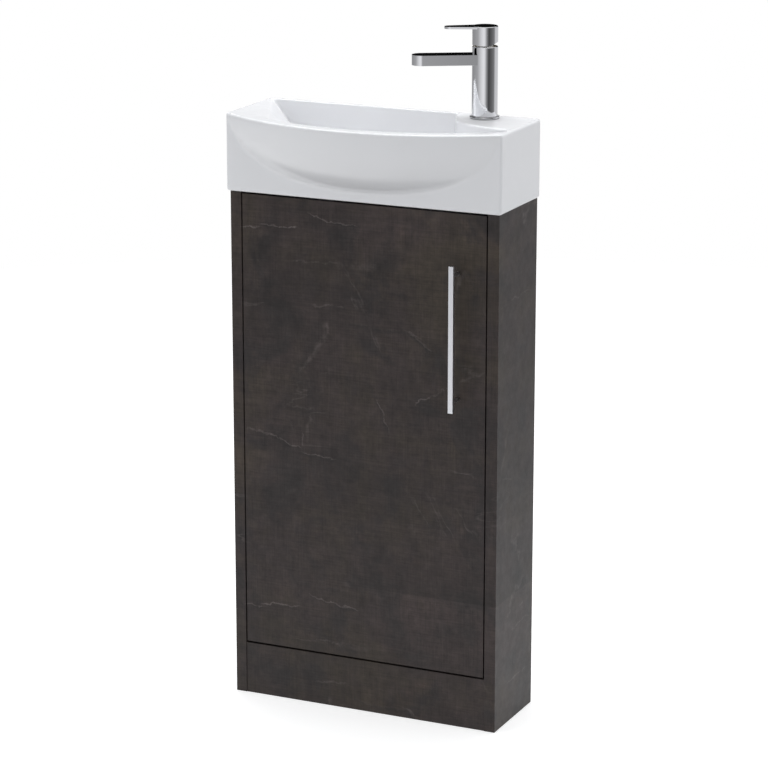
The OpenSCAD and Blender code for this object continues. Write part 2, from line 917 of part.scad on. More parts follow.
module waste_backnut() {
    color(brass) at_waste() difference() {
        union() {
            translate([0, 0, backnut_z]) cylinder(r = tail_r + 7.5, h = nut_t, $fn = 6);
            translate([0, 0, backnut_z + nut_t - 2.5]) cylinder(r = tail_r + 8, h = 2.5);
        }
        translate([0, 0, backnut_z - 1]) cylinder(r = tail_r + nut_play, h = nut_t + 2);
    }
}

// Tap: drawn upright on the basin's top with the lever along +X, then turned

module at_tap() {
    translate([tap_x, -tap_y, basin_top]) rotate([0, 0, tap_turn]) children();
}

module stud_body() {
    translate([0, stud_y, seal_t - stud_l + stud_grip]) cylinder(r = stud_r, h = stud_l);
}

module tap_body() {
    end_r = spout_w / 2;
    aerator_x = spout_reach - aerator_in;
    color(chrome) at_tap() difference() {
        union() {
            translate([0, 0, seal_t]) cylinder(r = tap_r, h = tap_body_h - seal_t - edge_r);
            translate([0, 0, tap_body_h - edge_r]) cylinder(r1 = tap_r, r2 = tap_r - edge_r, h = edge_r);
            translate([0, 0, spout_z]) {
                translate([0, -end_r, 0]) cube([spout_reach - end_r, spout_w, spout_t]);
                translate([spout_reach - end_r, 0, 0]) cylinder(r = end_r, h = spout_t);
            }
        }
        translate([0, 0, seat_z]) cylinder(r = seat_r, h = tap_body_h);
        for (s = [-1, 1]) translate([s * inlet_x, inlet_y, 0]) {
            cylinder(r = inlet_r, h = seal_t + inlet_l);
            cylinder(r = water_r, h = seat_z + 1);
        }
        translate([seat_r - 2, 0, spout_z + spout_t / 2]) rotate([0, 90, 0])
            cylinder(r = 4.5, h = aerator_x - seat_r + 2);
        translate([aerator_x, 0, spout_z - 1]) cylinder(r = aerator_d / 2, h = 11);
        stud_body();
    }
}

module tap_base_ring() {
    color(chrome) at_tap() difference() {
        union() {
            translate([0, 0, seal_t]) cylinder(r = ring_d / 2, h = ring_h - 1);
            translate([0, 0, seal_t + ring_h - 1]) cylinder(r1 = ring_d / 2, r2 = ring_d / 2 - 1, h = 1);
        }
        translate([0, 0, -1]) cylinder(r = tap_r, h = ring_h + 5);
    }
}

module tap_base_seal() {
    color(rubber) at_tap() ring(ring_d / 2 - 0.7, tap_hole_d / 2 - 1.5, 0, seal_t);
}

module aerator_housing() {
    x = spout_reach - aerator_in;
    color(chrome) at_tap() translate([x, 0, 0]) ring(aerator_d / 2, aerator_d / 2 - 1.5, spout_z - 1, 9);
}

module aerator_core() {
    x = spout_reach - aerator_in;
    core_r = aerator_d / 2 - 1.5;
    color(plastic) at_tap() translate([x, 0, spout_z - 0.2]) difference() {
        cylinder(r = core_r, h = 8);
        for (r = [2.4, 5], k = [0:5]) rotate([0, 0, k * 60 + r * 6])
            translate([r, 0, -1]) cylinder(r = 0.75, h = 10);
    }
}

module tap_cartridge() {
    low = seat_z;
    shoulder = tap_body_h - cart_nut_t;
    color(plastic) at_tap() {
        translate([0, 0, low]) cylinder(r = seat_r - cart_play, h = shoulder - low);
        translate([0, 0, low]) cylinder(r = cart_dome_r, h = cart_dome_z - low);
    }
}

module cartridge_nut() {
    color(brass) at_tap()
        ring(seat_r - 0.02, cart_dome_r + 0.2, tap_body_h - cart_nut_t, cart_nut_t - 0.5);
}

// The turret turns on the cartridge and carries the stem on its pin
module cartridge_turret() {
    color(plastic) at_tap() difference() {
        translate([0, 0, turret_z]) cylinder(r = turret_r, h = turret_h);
        translate([-turret_r - 1, -stem_w / 2 - slot_play, turret_z - 1])
            cube([2 * turret_r + 2, stem_w + 2 * slot_play, turret_h + 2]);
        turret_pin_body();
    }
    color(plastic) at_tap() translate([0, 0, turret_z]) cylinder(r = turret_r, h = turret_floor);
}

module turret_pin_body() {
    translate([0, turret_r - 1, pivot_z]) rotate([90, 0, 0]) cylinder(r = 1.5, h = 2 * turret_r - 2);
}

module turret_pin() { color(steel) at_tap() turret_pin_body(); }

module stem_body(play) {
    half = stem_w / 2 + play;
    slab([-half, half], [-half, half], [pivot_z - stem_low, stem_top + play]);
}

module lever_stem() {
    color(steel) at_tap() difference() {
        stem_body(0);
        translate([0, turret_r, pivot_z]) rotate([90, 0, 0]) cylinder(r = 1.5 + pin_play, h = 2 * turret_r);
    }
}

module head_bore() {
    rod([grub_x, 0, grub_z], [1, 0, 0], grub_r, tap_r);
    rod([cap_x, 0, grub_z], [1, 0, 0], cap_r, tap_r);
}

// Head and lever in one piece: a hollow cap over the turret; the cut at the back lets it lift
module tap_lever() {
    tip = lever_reach - lever_w / 2;
    tip_r = lever_w / 2 - 0.05;
    root_r = tap_r - 4;
    lean = asin((root_r - tip_r) / tip);
    cut = 120;
    color(chrome) at_tap() difference() {
        union() {
            translate([0, 0, head_z]) cylinder(r = tap_r, h = head_h - edge_r);
            translate([0, 0, head_top - edge_r]) cylinder(r1 = tap_r, r2 = tap_r - edge_r, h = edge_r);
            translate([0, 0, head_top - lever_t]) linear_extrude(lever_t - 0.3) {
                polygon([
                    root_r * [sin(lean), cos(lean)],
                    [tip, 0] + tip_r * [sin(lean), cos(lean)],
                    [tip, 0] + tip_r * [sin(lean), -cos(lean)],
                    root_r * [sin(lean), -cos(lean)]
                ]);
                translate([tip, 0]) circle(r = lever_w / 2);
            }
        }
        translate([0, 0, head_z - 1]) cylinder(r = head_hollow_r, h = head_hollow_top - head_z + 1);
        stem_body(0);
        head_bore();
        translate([0, 0, pivot_z]) rotate([0, lever_lift, 0])
            translate([-cut / 2, -cut / 2, tap_body_h + lift_clear - pivot_z - cut]) cube(cut);
    }
}

module grub_screw() {
    color(steel) at_tap() rod([grub_x, 0, grub_z], [1, 0, 0], grub_r, grub_l);
}

module index_cap() {
    color(steel) at_tap() rod([cap_x, 0, grub_z], [1, 0, 0], cap_r, cap_t);
}

module tap_stud() { color(steel) at_tap() stud_body(); }

module horseshoe(z, h) {
    difference() {
        translate([0, 0, z]) cylinder(r = shoe_r, h = h);
        slab([-shoe_slot, shoe_slot], [-shoe_r - 1, shoe_slot_y], [z - 1, z + h + 1]);
        stud_body();
    }
}

module horseshoe_washer() {
    color(rubber) at_tap() horseshoe(-wall - shoe_rubber_t, shoe_rubber_t);
}

module horseshoe_plate() {
    color(steel) at_tap() horseshoe(-wall - shoe_rubber_t - shoe_plate_t, shoe_plate_t);
}

module tap_nut() {
    z = -wall - shoe_rubber_t - shoe_plate_t - stud_nut_t;
    color(brass) at_tap() difference() {
        translate([0, stud_y, z]) cylinder(r = nut_across / 2 / cos(30), h = stud_nut_t, $fn = 6);
        stud_body();
    }
}

placed() left_side_panel();
placed() right_side_panel();
placed() bottom_panel();
placed() plinth_panel();
placed() front_top_rail();
placed() rear_top_rail();
placed() rear_bottom_rail();
placed() shelf();
placed() shelf_pegs();
placed() cam_locks();
placed() cam_bolts();
placed() dowels();
placed() wall_brackets();
placed() bracket_screws();
placed() door();
placed() door_buffers();
placed() handle_bar();
placed() handle_posts();
placed() handle_screws();
placed() upper_hinge_plate();
placed() lower_hinge_plate();
placed() upper_hinge_arm();
placed() lower_hinge_arm();
placed() upper_hinge_cup();
placed() lower_hinge_cup();
placed() upper_outer_link();
placed() lower_outer_link();
placed() upper_inner_link();
placed() lower_inner_link();
placed() hinge_arm_pins();
placed() hinge_cup_pins();
placed() hinge_plate_screws();
placed() hinge_cup_screws();
placed() hinge_arm_screws();
placed() basin();
placed() waste_body();
placed() waste_flange_seal();
placed() waste_plug();
placed() plug_seal();
placed() waste_washer();
placed() waste_backnut();
placed() tap_body();
placed() tap_base_ring();
placed() tap_base_seal();
placed() aerator_housing();
placed() aerator_core();
placed() tap_cartridge();
placed() cartridge_nut();
placed() cartridge_turret();
placed() turret_pin();
placed() lever_stem();
placed() tap_lever();
placed() grub_screw();
placed() index_cap();
placed() tap_stud();
placed() horseshoe_washer();
placed() horseshoe_plate();
placed() tap_nut();
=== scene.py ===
import json
import math
import bpy
import bmesh
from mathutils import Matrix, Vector


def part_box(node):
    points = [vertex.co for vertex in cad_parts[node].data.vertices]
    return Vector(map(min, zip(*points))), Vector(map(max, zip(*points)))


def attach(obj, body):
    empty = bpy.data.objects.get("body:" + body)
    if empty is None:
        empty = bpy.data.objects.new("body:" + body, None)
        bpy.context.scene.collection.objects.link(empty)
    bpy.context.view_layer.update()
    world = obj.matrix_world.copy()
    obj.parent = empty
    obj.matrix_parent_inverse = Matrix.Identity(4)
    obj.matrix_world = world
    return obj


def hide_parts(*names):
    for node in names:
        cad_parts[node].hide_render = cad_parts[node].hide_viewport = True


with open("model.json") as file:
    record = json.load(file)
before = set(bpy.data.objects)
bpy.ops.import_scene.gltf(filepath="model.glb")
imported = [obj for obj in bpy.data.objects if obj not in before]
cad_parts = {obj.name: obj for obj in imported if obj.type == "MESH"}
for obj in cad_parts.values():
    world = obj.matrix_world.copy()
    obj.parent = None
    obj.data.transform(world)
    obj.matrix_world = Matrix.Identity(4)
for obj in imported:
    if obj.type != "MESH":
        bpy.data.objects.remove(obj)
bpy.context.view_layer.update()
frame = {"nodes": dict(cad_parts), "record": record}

nodes = frame["nodes"]
mm = 0.001


# the photo's camera

cameraView = {
    "place": (1.9166, -4.091, 1.7255),
    "azimuth": 24.88,      # degrees round from straight in front
    "elevation": 14.97,    # degrees above the level
    "focalPixels": 3076.0,
    "imagePixels": 768.0,
    "sensor": 36.0,
    "clip": (0.05, 60.0),
}


def placeCamera(s):
    data = bpy.data.cameras.new("photoCamera")
    data.sensor_width = s["sensor"]
    data.lens = s["focalPixels"] / s["imagePixels"] * s["sensor"]
    data.clip_start, data.clip_end = s["clip"]
    cam = bpy.data.objects.new("photoCamera", data)
    a, e = math.radians(s["azimuth"]), math.radians(s["elevation"])
    look = Vector((-math.sin(a) * math.cos(e), math.cos(a) * math.cos(e), -math.sin(e)))
    cam.rotation_mode = "QUATERNION"
    cam.rotation_quaternion = look.to_track_quat("-Z", "Y")
    cam.location = s["place"]
    bpy.context.scene.collection.objects.link(cam)
    bpy.context.scene.camera = cam


placeCamera(cameraView)
print("camera placed")


# small shader builder

class Shader:
    # wraps one node tree; every call adds a node and returns its output socket

    def __init__(self, tree):
        self.tree = tree

    def add(self, kind, settings=None, **inputs):
        node = self.tree.nodes.new(kind)
        for key, value in (settings or {}).items():
            setattr(node, key, value)
        for key, value in inputs.items():
            name = key.replace("_", " ")
            socket = node.inputs[int(name)] if name.isdigit() else node.inputs[name]
            self.feed(socket, value)
        return node

    def feed(self, socket, value):
        if isinstance(value, bpy.types.NodeSocket):
            self.tree.links.new(value, socket)
        else:
            socket.default_value = value

    def math(self, op, a, b=0.0, clamp=False):
        node = self.tree.nodes.new("ShaderNodeMath")
        node.operation, node.use_clamp = op, clamp
        self.feed(node.inputs[0], a)
        self.feed(node.inputs[1], b)
        return node.outputs[0]

    def ramp(self, value, low, high, outLow=0.0, outHigh=1.0):
        node = self.tree.nodes.new("ShaderNodeMapRange")
        node.clamp = True
        ends = {"Value": value, "From Min": low, "From Max": high, "To Min": outLow, "To Max": outHigh}
        for name, v in ends.items():
            self.feed(node.inputs[name], v)
        return node.outputs["Result"]

    def times(self, *values):
        product = values[0]
        for value in values[1:]:
            product = self.math("MULTIPLY", product, value)
        return product

    def mixColor(self, fac, a, b, blend="MIX"):
        node = self.tree.nodes.new("ShaderNodeMix")
        node.data_type, node.blend_type = "RGBA", blend
        self.feed(node.inputs["Factor"], fac)
        self.feed(node.inputs["A"], a)
        self.feed(node.inputs["B"], b)
        return node.outputs["Result"]

    def place(self, stretch=(1, 1, 1), shift=(0, 0, 0), turn=(0, 0, 0)):
        coords = self.tree.nodes.new("ShaderNodeTexCoord").outputs["Object"]
        node = self.add("ShaderNodeMapping", None, Vector=coords)
        node.inputs["Scale"].default_value = stretch
        node.inputs["Location"].default_value = shift
        node.inputs["Rotation"].default_value = turn
        return node.outputs[0]

    def noise(self, where, scale, detail=4.0, roughness=0.5, distortion=0.0):
        node = self.add("ShaderNodeTexNoise", None, Vector=where, Scale=scale, Detail=detail,
                        Roughness=roughness, Distortion=distortion)
        return node.outputs["Fac"]


def newGroup(name, ins, outs):
    group = bpy.data.node_groups.new(name, "ShaderNodeTree")
    for label, kind, value in ins:
        socket = group.interface.new_socket(name=label, in_out="INPUT", socket_type=kind)
        socket.default_value = value
    for label, kind in outs:
        group.interface.new_socket(name=label, in_out="OUTPUT", socket_type=kind)
    return group, group.nodes.new("NodeGroupInput"), group.nodes.new("NodeGroupOutput")


# fine surface variation that every finish uses with its own sizes: soft clouds and a directional grain
def buildSurfaceVariation():
    group, start, end = newGroup("surfaceVariation", [
        ("Cloud Scale", "NodeSocketFloat", 6.0),
        ("Grain Scale", "NodeSocketFloat", 400.0),
        ("Stretch X", "NodeSocketFloat", 1.0),
        ("Stretch Y", "NodeSocketFloat", 1.0),
        ("Stretch Z", "NodeSocketFloat", 1.0),
    ], [("Clouds", "NodeSocketFloat"), ("Grain", "NodeSocketFloat")])
    sh = Shader(group)
    coords = group.nodes.new("ShaderNodeTexCoord").outputs["Object"]
    clouds = sh.noise(coords, start.outputs["Cloud Scale"], 5.0, 0.6)
    stretch = sh.add("ShaderNodeCombineXYZ", None, X=start.outputs["Stretch X"],
                     Y=start.outputs["Stretch Y"], Z=start.outputs["Stretch Z"])
    scaled = sh.add("ShaderNodeVectorMath", {"operation": "MULTIPLY"})
    sh.feed(scaled.inputs[0], coords)
    sh.feed(scaled.inputs[1], stretch.outputs[0])
    grain = sh.noise(scaled.outputs[0], start.outputs["Grain Scale"], 3.0, 0.6)
    sh.feed(end.inputs["Clouds"], clouds)
    sh.feed(end.inputs["Grain"], grain)
    return group


surfaceVariation = buildSurfaceVariation()


def newMaterial(name):
    material = bpy.data.materials.new(name)
    material.use_nodes = True
    tree = material.node_tree
    return material, Shader(tree), tree.nodes["Principled BSDF"]


def variation(sh, cloud, grain, stretch=(1, 1, 1)):
    node = sh.tree.nodes.new("ShaderNodeGroup")
    node.node_tree = surfaceVariation
    for label, value in (("Cloud Scale", cloud), ("Grain Scale", grain), ("Stretch X", stretch[0]),
                         ("Stretch Y", stretch[1]), ("Stretch Z", stretch[2])):
        node.inputs[label].default_value = value
    return node.outputs["Clouds"], node.outputs["Grain"]


def bumpFrom(sh, height, strength, distance):
    node = sh.add("ShaderNodeBump", None, Height=height, Strength=strength, Distance=distance)
    return node.outputs["Normal"]


# finishes

slateSettings = {
    "mauve": (0.0336, 0.0242, 0.0230, 1),
    "olive": (0.0384, 0.0288, 0.0212, 1),
    "smoke": (0.0160, 0.0138, 0.0140, 1),
    "rust": (0.0520, 0.0340, 0.0295, 1),
    "crack": (0.130, 0.108, 0.102, 1),
    "roughness": 0.56,
    "roughnessSpread": 0.06,
    "specular": 0.36,
    "bump": (0.15, 0.0004),      # strength and depth of the embossed weave
    "sheetFoot": 0.202,      # the printed sheet starts here and repeats upwards
    "sheetHeight": 0.603,
    "corner": (0.2212, 0.224),      # how far across the sheet the front ends and the side begins
    # stretch and shift of each pattern, then its noise: scale, detail, roughness, distortion
    "patterns": {
        "smoke": ((1, 1, 1), (3.1, 1.7, 0.4), (12.0, 8.0, 0.66, 0.4)),
        "bands": ((2.2, 2.2, 11.0), (1.3, 4.7, 2.4), (1.0, 6.0, 0.62)),
        "bars": ((11.0, 11.0, 2.6), (6.3, 0.7, 8.4), (1.0, 6.0, 0.62)),
        "spots": ((1, 1, 1.4), (4.4, 2.6, 9.1), (21.0, 5.0, 0.6)),
        "mottle": ((1, 1, 1), (0, 0, 0), (75.0, 7.0, 0.75)),
        "upright": ((430, 430, 20), (0, 0, 0), (1.0, 5.0, 0.65)),
        "level": ((20, 20, 430), (0, 0, 0), (1.0, 5.0, 0.65)),
        "drift": ((1.3, 1.3, 1), (8.1, 5.2, 3.3), (26.0, 4.0, 0.6)),
    },
    # how a pattern becomes a cover: from and to of the noise, then the cover at both
    "blockCover": (0.47, 0.59),
    "smokeCover": (0.38, 0.50, 0.65, 0.0),
    "rustCover": (0.62, 0.76, 0.0, 0.55),
    "brokenCover": (0.36, 0.58, 0.25, 1.0),
    "frontTone": 0.93,
    # the sides are painted darker than the front: painted shade on the board's sides
    "sideShadeTone": 0.77,
    "sideWeave": 0.30,      # the sides show the weave drawn out and weak
    "weave": 0.20,
    "mottle": 0.26,
    "driftTones": (0.76, 1.24),
    "cloudTones": (0.74, 1.26),
    # where one sheet ends and the next begins, dark over pale, on the right of the front only
    "seamDark": (0.0, 0.12, -0.15, 0.0),
    "seamPale": (0.80, 0.97, 0.0, 0.32),
    "seamStart": (-0.05, 0.04),
    "strayShare": (0.40, 0.35),      # how strong the stray cracks' line and halo are
    "sheetShare": (0.85, 0.62),      # the same for the sheet's own cracks and their dark edge
    "crackWaver": 0.006,
    # stray cracks: direction, stretch, shift, noise scale, line width, cover
    "strayCracks": (
        ((0, math.radians(8), 0), (0.8, 0.8, 3.6), (0.7, 0.2, 0.1), 3.4, 0.011, (0.57, 0.66)),
        ((0, math.radians(-62), 0), (0.9, 0.9, 3.2), (5.4, 3.1, 1.3), 3.2, 0.011, (0.58, 0.68)),
    ),
    # the sheet's own cracks in mm: across and up at both ends, half width, how pale, how dark beside
    "sheetCracks": (
        (-204, 751, -172, 752, 1.3, 0.9, 0.4), (-172, 756, -109, 757, 1.1, 1.0, 0.4),
        (-90, 780, -50, 770, 1.0, 0.8, 0.3), (-50, 770, -10, 768, 1.1, 0.8, 1.0),
        (-57, 759, -28, 760, 6.5, 0.0, 1.0), (-114, 705, -42, 709, 1.8, 0.35, 0.3),
        (-42, 706, 22, 707, 6.0, 0.20, 0.0), (-66, 706, -68, 652, 7.0, 0.0, 0.45),
        (-83, 639, -29, 643, 1.6, 0.45, 0.3), (-62, 616, -62, 596, 5.0, 0.42, 0.5),
        (-62, 596, -85, 560, 4.5, 0.36, 0.6), (-85, 560, -105, 534, 3.5, 0.40, 0.6),
        (-17, 621, 16, 615, 1.6, 0.1, 0.6), (16, 615, 75, 614, 1.3, 0.1, 0.8),
        (75, 614, 116, 588, 1.3, 0.4, 1.0), (70, 617, 95, 605, 1.2, 0.5, 0.2),
        (22, 504, 36, 482, 1.2, 0.8, 0.7), (36, 482, 44, 456, 1.1, 0.6, 0.9),
        (88, 505, 112, 521, 1.2, 0.7, 0.2), (112, 521, 137, 532, 1.1, 0.4, 0.5),
        (157, 548, 199, 565, 2.2, 0.35, 0.1), (-199, 432, -158, 430, 1.4, 0.45, 0.2),
        (-158, 430, -106, 412, 1.2, 0.9, 0.5), (-101, 405, -47, 404, 1.2, 0.8, 1.0),
        (-103, 437, -101, 418, 1.2, 0.7, 0.2), (-123, 476, -85, 479, 2.0, 0.4, 0.2),
        (-190, 317, -150, 314, 7.0, 0.0, 0.7), (-50, 262, -30, 262, 5.0, 0.0, 0.5),
        (272, 667, 343, 668, 1.4, 0.55, 0.1), (262, 470, 236, 405, 5.0, 0.32, 0.1),
    ),
}


# one family of stray cracks: a middle contour of a slow drawn-out noise, showing only in patches
def crackLines(sh, turn, stretch, shift, scale, width, cover):
    turned = sh.place(turn=turn)
    where = sh.add("ShaderNodeMapping", None, Vector=turned)
    where.inputs["Scale"].default_value = stretch
    where.inputs["Location"].default_value = shift
    bend = sh.noise(where.outputs[0], scale, 5.0, 0.52, 0.35)
    away = sh.math("ABSOLUTE", sh.math("SUBTRACT", bend, 0.5))
    elsewhere = sh.place(shift=tuple(3 * v for v in shift))
    patches = sh.ramp(sh.noise(elsewhere, 6.5, 2.0, 0.5), *cover)
    line = sh.times(sh.ramp(away, 0.0, width, 1.0, 0.0), patches)
    halo = sh.times(sh.ramp(away, 0.0, 6 * width, 1.0, 0.0), patches)
    return line, halo


crackSettings = {
    "fade": 4 * mm,      # over this length before and after an end it fades
    "widen": 1.3,
    "edgeBelow": 1.5,      # the dark edge's middle and half width, in half widths of the line
    "edgeWidth": 2.8,
}


# one crack of the sheet: a pale line from start along run, and a dark edge under it
def buildSheetCrack(s):
    group, start, end = newGroup("sheetCrack", [(label, "NodeSocketFloat", 0.0) for label in (
        "Across", "Up", "Start Across", "Start Up", "Run Across", "Run Up", "Length", "Half Width")],
        [("Line", "NodeSocketFloat"), ("Edge", "NodeSocketFloat")])
    sh, given = Shader(group), start.outputs
    dx = sh.math("SUBTRACT", given["Across"], given["Start Across"])
    dz = sh.math("SUBTRACT", given["Up"], given["Start Up"])
    along = sh.math("ADD", sh.times(dx, given["Run Across"]), sh.times(dz, given["Run Up"]))
    beside = sh.math("SUBTRACT", sh.times(dz, given["Run Across"]), sh.times(dx, given["Run Up"]))
    middle = sh.times(given["Length"], 0.5)
    past = sh.math("SUBTRACT", sh.math("ABSOLUTE", sh.math("SUBTRACT", along, middle)), middle)
    present = sh.ramp(past, -s["fade"], s["fade"], 1.0, 0.0)
    lineShare = sh.math("DIVIDE", sh.math("ABSOLUTE", beside), given["Half Width"])
    under = sh.math("ABSOLUTE", sh.math("ADD", beside, sh.times(given["Half Width"], s["edgeBelow"])))
    edgeShare = sh.math("DIVIDE", under, sh.times(given["Half Width"], s["edgeWidth"]))
    sh.feed(end.inputs["Line"], sh.times(sh.math("SUBTRACT", 1.0, lineShare, True), present))
    sh.feed(end.inputs["Edge"], sh.times(sh.math("SUBTRACT", 1.0, edgeShare, True), present))
    return group


def sheetCrack(sh, group, across, up, crack):
    x0, z0, x1, z1, half, pale, dark = crack
    long = math.hypot(x1 - x0, z1 - z0)
    node = sh.tree.nodes.new("ShaderNodeGroup")
    node.node_tree = group
    given = {"Across": across, "Up": up, "Start Across": x0 * mm, "Start Up": z0 * mm,
             "Run Across": (x1 - x0) / long, "Run Up": (z1 - z0) / long, "Length": long * mm,
             "Half Width": crackSettings["widen"] * half * mm}
    for label, value in given.items():
        sh.feed(node.inputs[label], value)
    return sh.times(node.outputs["Line"], pale), sh.times(node.outputs["Edge"], dark)


# printed slate: clouded tones in soft blocks, a fine weave both ways, pale cracks with dark edges
def makeSlate(s):
    material, sh, skin = newMaterial("slateBoard")
    clouds, grain = variation(sh, 4.0, 300.0, (1.0, 1.0, 0.25))
    parts = sh.add("ShaderNodeSeparateXYZ", None, Vector=sh.place())
    # the sheet wraps round the front corners: across runs on from the front over the sides
    depth = sh.math("SUBTRACT", parts.outputs["Y"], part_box("door")[0].y)
    across = sh.math("ADD", parts.outputs["X"], sh.times(sh.math("SIGN", parts.outputs["X"]), depth))
    risen = sh.math("SUBTRACT", parts.outputs["Z"], s["sheetFoot"])
    risen = sh.math("FRACT", sh.math("DIVIDE", risen, s["sheetHeight"]))
    up = sh.math("ADD", sh.times(risen, s["sheetHeight"]), s["sheetFoot"])
    onSide = sh.ramp(sh.math("ABSOLUTE", across), *s["corner"])
    seen = {name: sh.noise(sh.place(stretch, shift), *noise)
            for name, (stretch, shift, noise) in s["patterns"].items()}

    # soft blocks of two tones, smoke and rust over them
    blocks = sh.times(sh.math("ADD", seen["bands"], seen["bars"]), 0.36)
    blocks = sh.math("ADD", blocks, sh.times(seen["smoke"], 0.28))
    body = sh.mixColor(sh.ramp(blocks, *s["blockCover"]), s["mauve"], s["olive"])
    body = sh.mixColor(sh.ramp(seen["smoke"], *s["smokeCover"]), body, s["smoke"])
    body = sh.mixColor(sh.ramp(seen["spots"], *s["rustCover"]), body, s["rust"])

    # stray cracks, broken up by the fine mottle
    broken = sh.ramp(seen["mottle"], *s["brokenCover"])
    lineShare, haloShare = s["strayShare"]
    for setting in s["strayCracks"]:
        line, halo = crackLines(sh, *setting)
        body = sh.mixColor(sh.times(halo, haloShare), body, s["smoke"])
        body = sh.mixColor(sh.times(line, broken, lineShare), body, s["crack"])

    # the sheet's own cracks, a little wavering
    waver = sh.add("ShaderNodeTexNoise", None, Vector=sh.place(), Scale=46.0, Detail=5.0, Roughness=0.62)
    shift = sh.add("ShaderNodeSeparateXYZ", None, Vector=waver.outputs["Color"]).outputs
    swing = (0.2, 0.8, -s["crackWaver"], s["crackWaver"])
    acrossHere = sh.math("ADD", across, sh.ramp(shift["X"], *swing))
    upHere = sh.math("ADD", up, sh.ramp(shift["Z"], *swing))
    group, paleSum, darkSum = buildSheetCrack(crackSettings), 0.0, 0.0
    for crack in s["sheetCracks"]:
        pale, dark = sheetCrack(sh, group, acrossHere, upHere, crack)
        paleSum = sh.math("MAXIMUM", paleSum, pale)
        darkSum = sh.math("MAXIMUM", darkSum, dark)
    paleShare, darkShare = s["sheetShare"]
    body = sh.mixColor(sh.times(darkSum, darkShare), body, s["smoke"])
    body = sh.mixColor(sh.times(paleSum, broken, paleShare), body, s["crack"])

    # the weave both ways, then slow light and dark over all of it
    weave = sh.math("ADD", sh.ramp(seen["upright"], 0.30, 0.70, -s["weave"], s["weave"]),
                    sh.ramp(seen["level"], 0.30, 0.70, -s["weave"], s["weave"]))
    weave = sh.math("ADD", weave, sh.ramp(seen["mottle"], 0.25, 0.75, -s["mottle"], s["mottle"]))
    calm = sh.ramp(onSide, 0.0, 1.0, 1.0, s["sideWeave"])
    tone = sh.math("ADD", sh.times(weave, calm), 1.0)
    tone = sh.times(tone, sh.ramp(seen["drift"], 0.3, 0.7, *s["driftTones"]),
                    sh.ramp(clouds, 0.3, 0.7, *s["cloudTones"]))
    seam = sh.math("ADD", sh.ramp(risen, *s["seamDark"]), sh.ramp(risen, *s["seamPale"]))
    seam = sh.times(seam, sh.ramp(across, *s["seamStart"]))
    # the sides take a darker tone than the front: painted shade on the sides
    tone = sh.times(tone, sh.math("ADD", seam, sh.ramp(onSide, 0.0, 1.0, s["frontTone"], s["sideShadeTone"])))
    shade = sh.add("ShaderNodeCombineColor", None, Red=tone, Green=tone, Blue=tone)
    body = sh.mixColor(1.0, body, shade.outputs[0], "MULTIPLY")

    sh.feed(skin.inputs["Base Color"], body)
    skin.inputs["Specular IOR Level"].default_value = s["specular"]
    sheen = sh.ramp(seen["mottle"], 0.3, 0.7, s["roughnessSpread"], -s["roughnessSpread"])
    sh.feed(skin.inputs["Roughness"], sh.math("ADD", sheen, s["roughness"]))
    height = sh.math("ADD", sh.times(seen["upright"], 0.5), sh.times(grain, 0.5))
    sh.feed(skin.inputs["Normal"], bumpFrom(sh, height, *s["bump"]))
    return material


def shades(color, low, high):
    # a darker and a lighter colour than the one given
    return tuple(c * low for c in color) + (1,), tuple(min(1.0, c * high) for c in color) + (1,)


def makeMetal(name, color, roughness, spread, grainStretch, grainScale, bump):
    material, sh, skin = newMaterial(name)
    clouds, grain = variation(sh, 18.0, grainScale, grainStretch)
    sh.feed(skin.inputs["Base Color"], sh.mixColor(clouds, *shades(color, 0.95, 1.04)))
    sh.feed(skin.inputs["Roughness"], sh.math("ADD", sh.ramp(grain, 0.3, 0.7, -spread, spread), roughness))
    skin.inputs["Metallic"].default_value = 1.0
    sh.feed(skin.inputs["Normal"], bumpFrom(sh, grain, bump, distance=0.2 * mm))
    return material


glazeSettings = {
    "shade": (0.776, 0.782, 0.800, 1),
    "light": (0.801, 0.807, 0.825, 1),
    "roughness": (0.20, 0.26),
    "coatWeight": 0.2,
    "coatRoughness": 0.16,
    "bump": (0.05, 0.0006),
}


def makeGlaze(s):
    material, sh, skin = newMaterial("whiteGlaze")
    clouds, grain = variation(sh, 9.0, 60.0)
    sh.feed(skin.inputs["Base Color"], sh.mixColor(clouds, s["shade"], s["light"]))
    sh.feed(skin.inputs["Roughness"], sh.ramp(grain, 0.3, 0.7, *s["roughness"]))
    skin.inputs["Coat Weight"].default_value = s["coatWeight"]
    skin.inputs["Coat Roughness"].default_value = s["coatRoughness"]
    sh.feed(skin.inputs["Normal"], bumpFrom(sh, clouds, *s["bump"]))
    return material


def makeSoft(name, color, roughness, bump, scale):
    material, sh, skin = newMaterial(name)
    clouds, grain = variation(sh, 30.0, scale)
    sh.feed(skin.inputs["Base Color"], sh.mixColor(clouds, *shades(color, 0.88, 1.1)))
    sh.feed(skin.inputs["Roughness"], sh.ramp(grain, 0.3, 0.7, roughness - 0.06, roughness + 0.06))
    sh.feed(skin.inputs["Normal"], bumpFrom(sh, grain, bump, distance=0.3 * mm))
    return material


beechSettings = {
    "darkFibre": (0.42, 0.27, 0.14, 1),
    "paleFibre": (0.62, 0.45, 0.27, 1),
    "patch": (0.5, 0.34, 0.2, 1),
    "patchCover": 0.3,
    "roughness": 0.6,
    "bump": (0.3, 0.0003),
}


def makeBeech(s):
    material, sh, skin = newMaterial("beechDowel")
    clouds, grain = variation(sh, 30.0, 900.0, (0.12, 1.0, 1.0))
    body = sh.mixColor(sh.ramp(grain, 0.35, 0.65), s["darkFibre"], s["paleFibre"])
    body = sh.mixColor(sh.ramp(clouds, 0.3, 0.8, 0.0, s["patchCover"]), body, s["patch"])
    sh.feed(skin.inputs["Base Color"], body)
    skin.inputs["Roughness"].default_value = s["roughness"]
    sh.feed(skin.inputs["Normal"], bumpFrom(sh, grain, *s["bump"]))
    return material


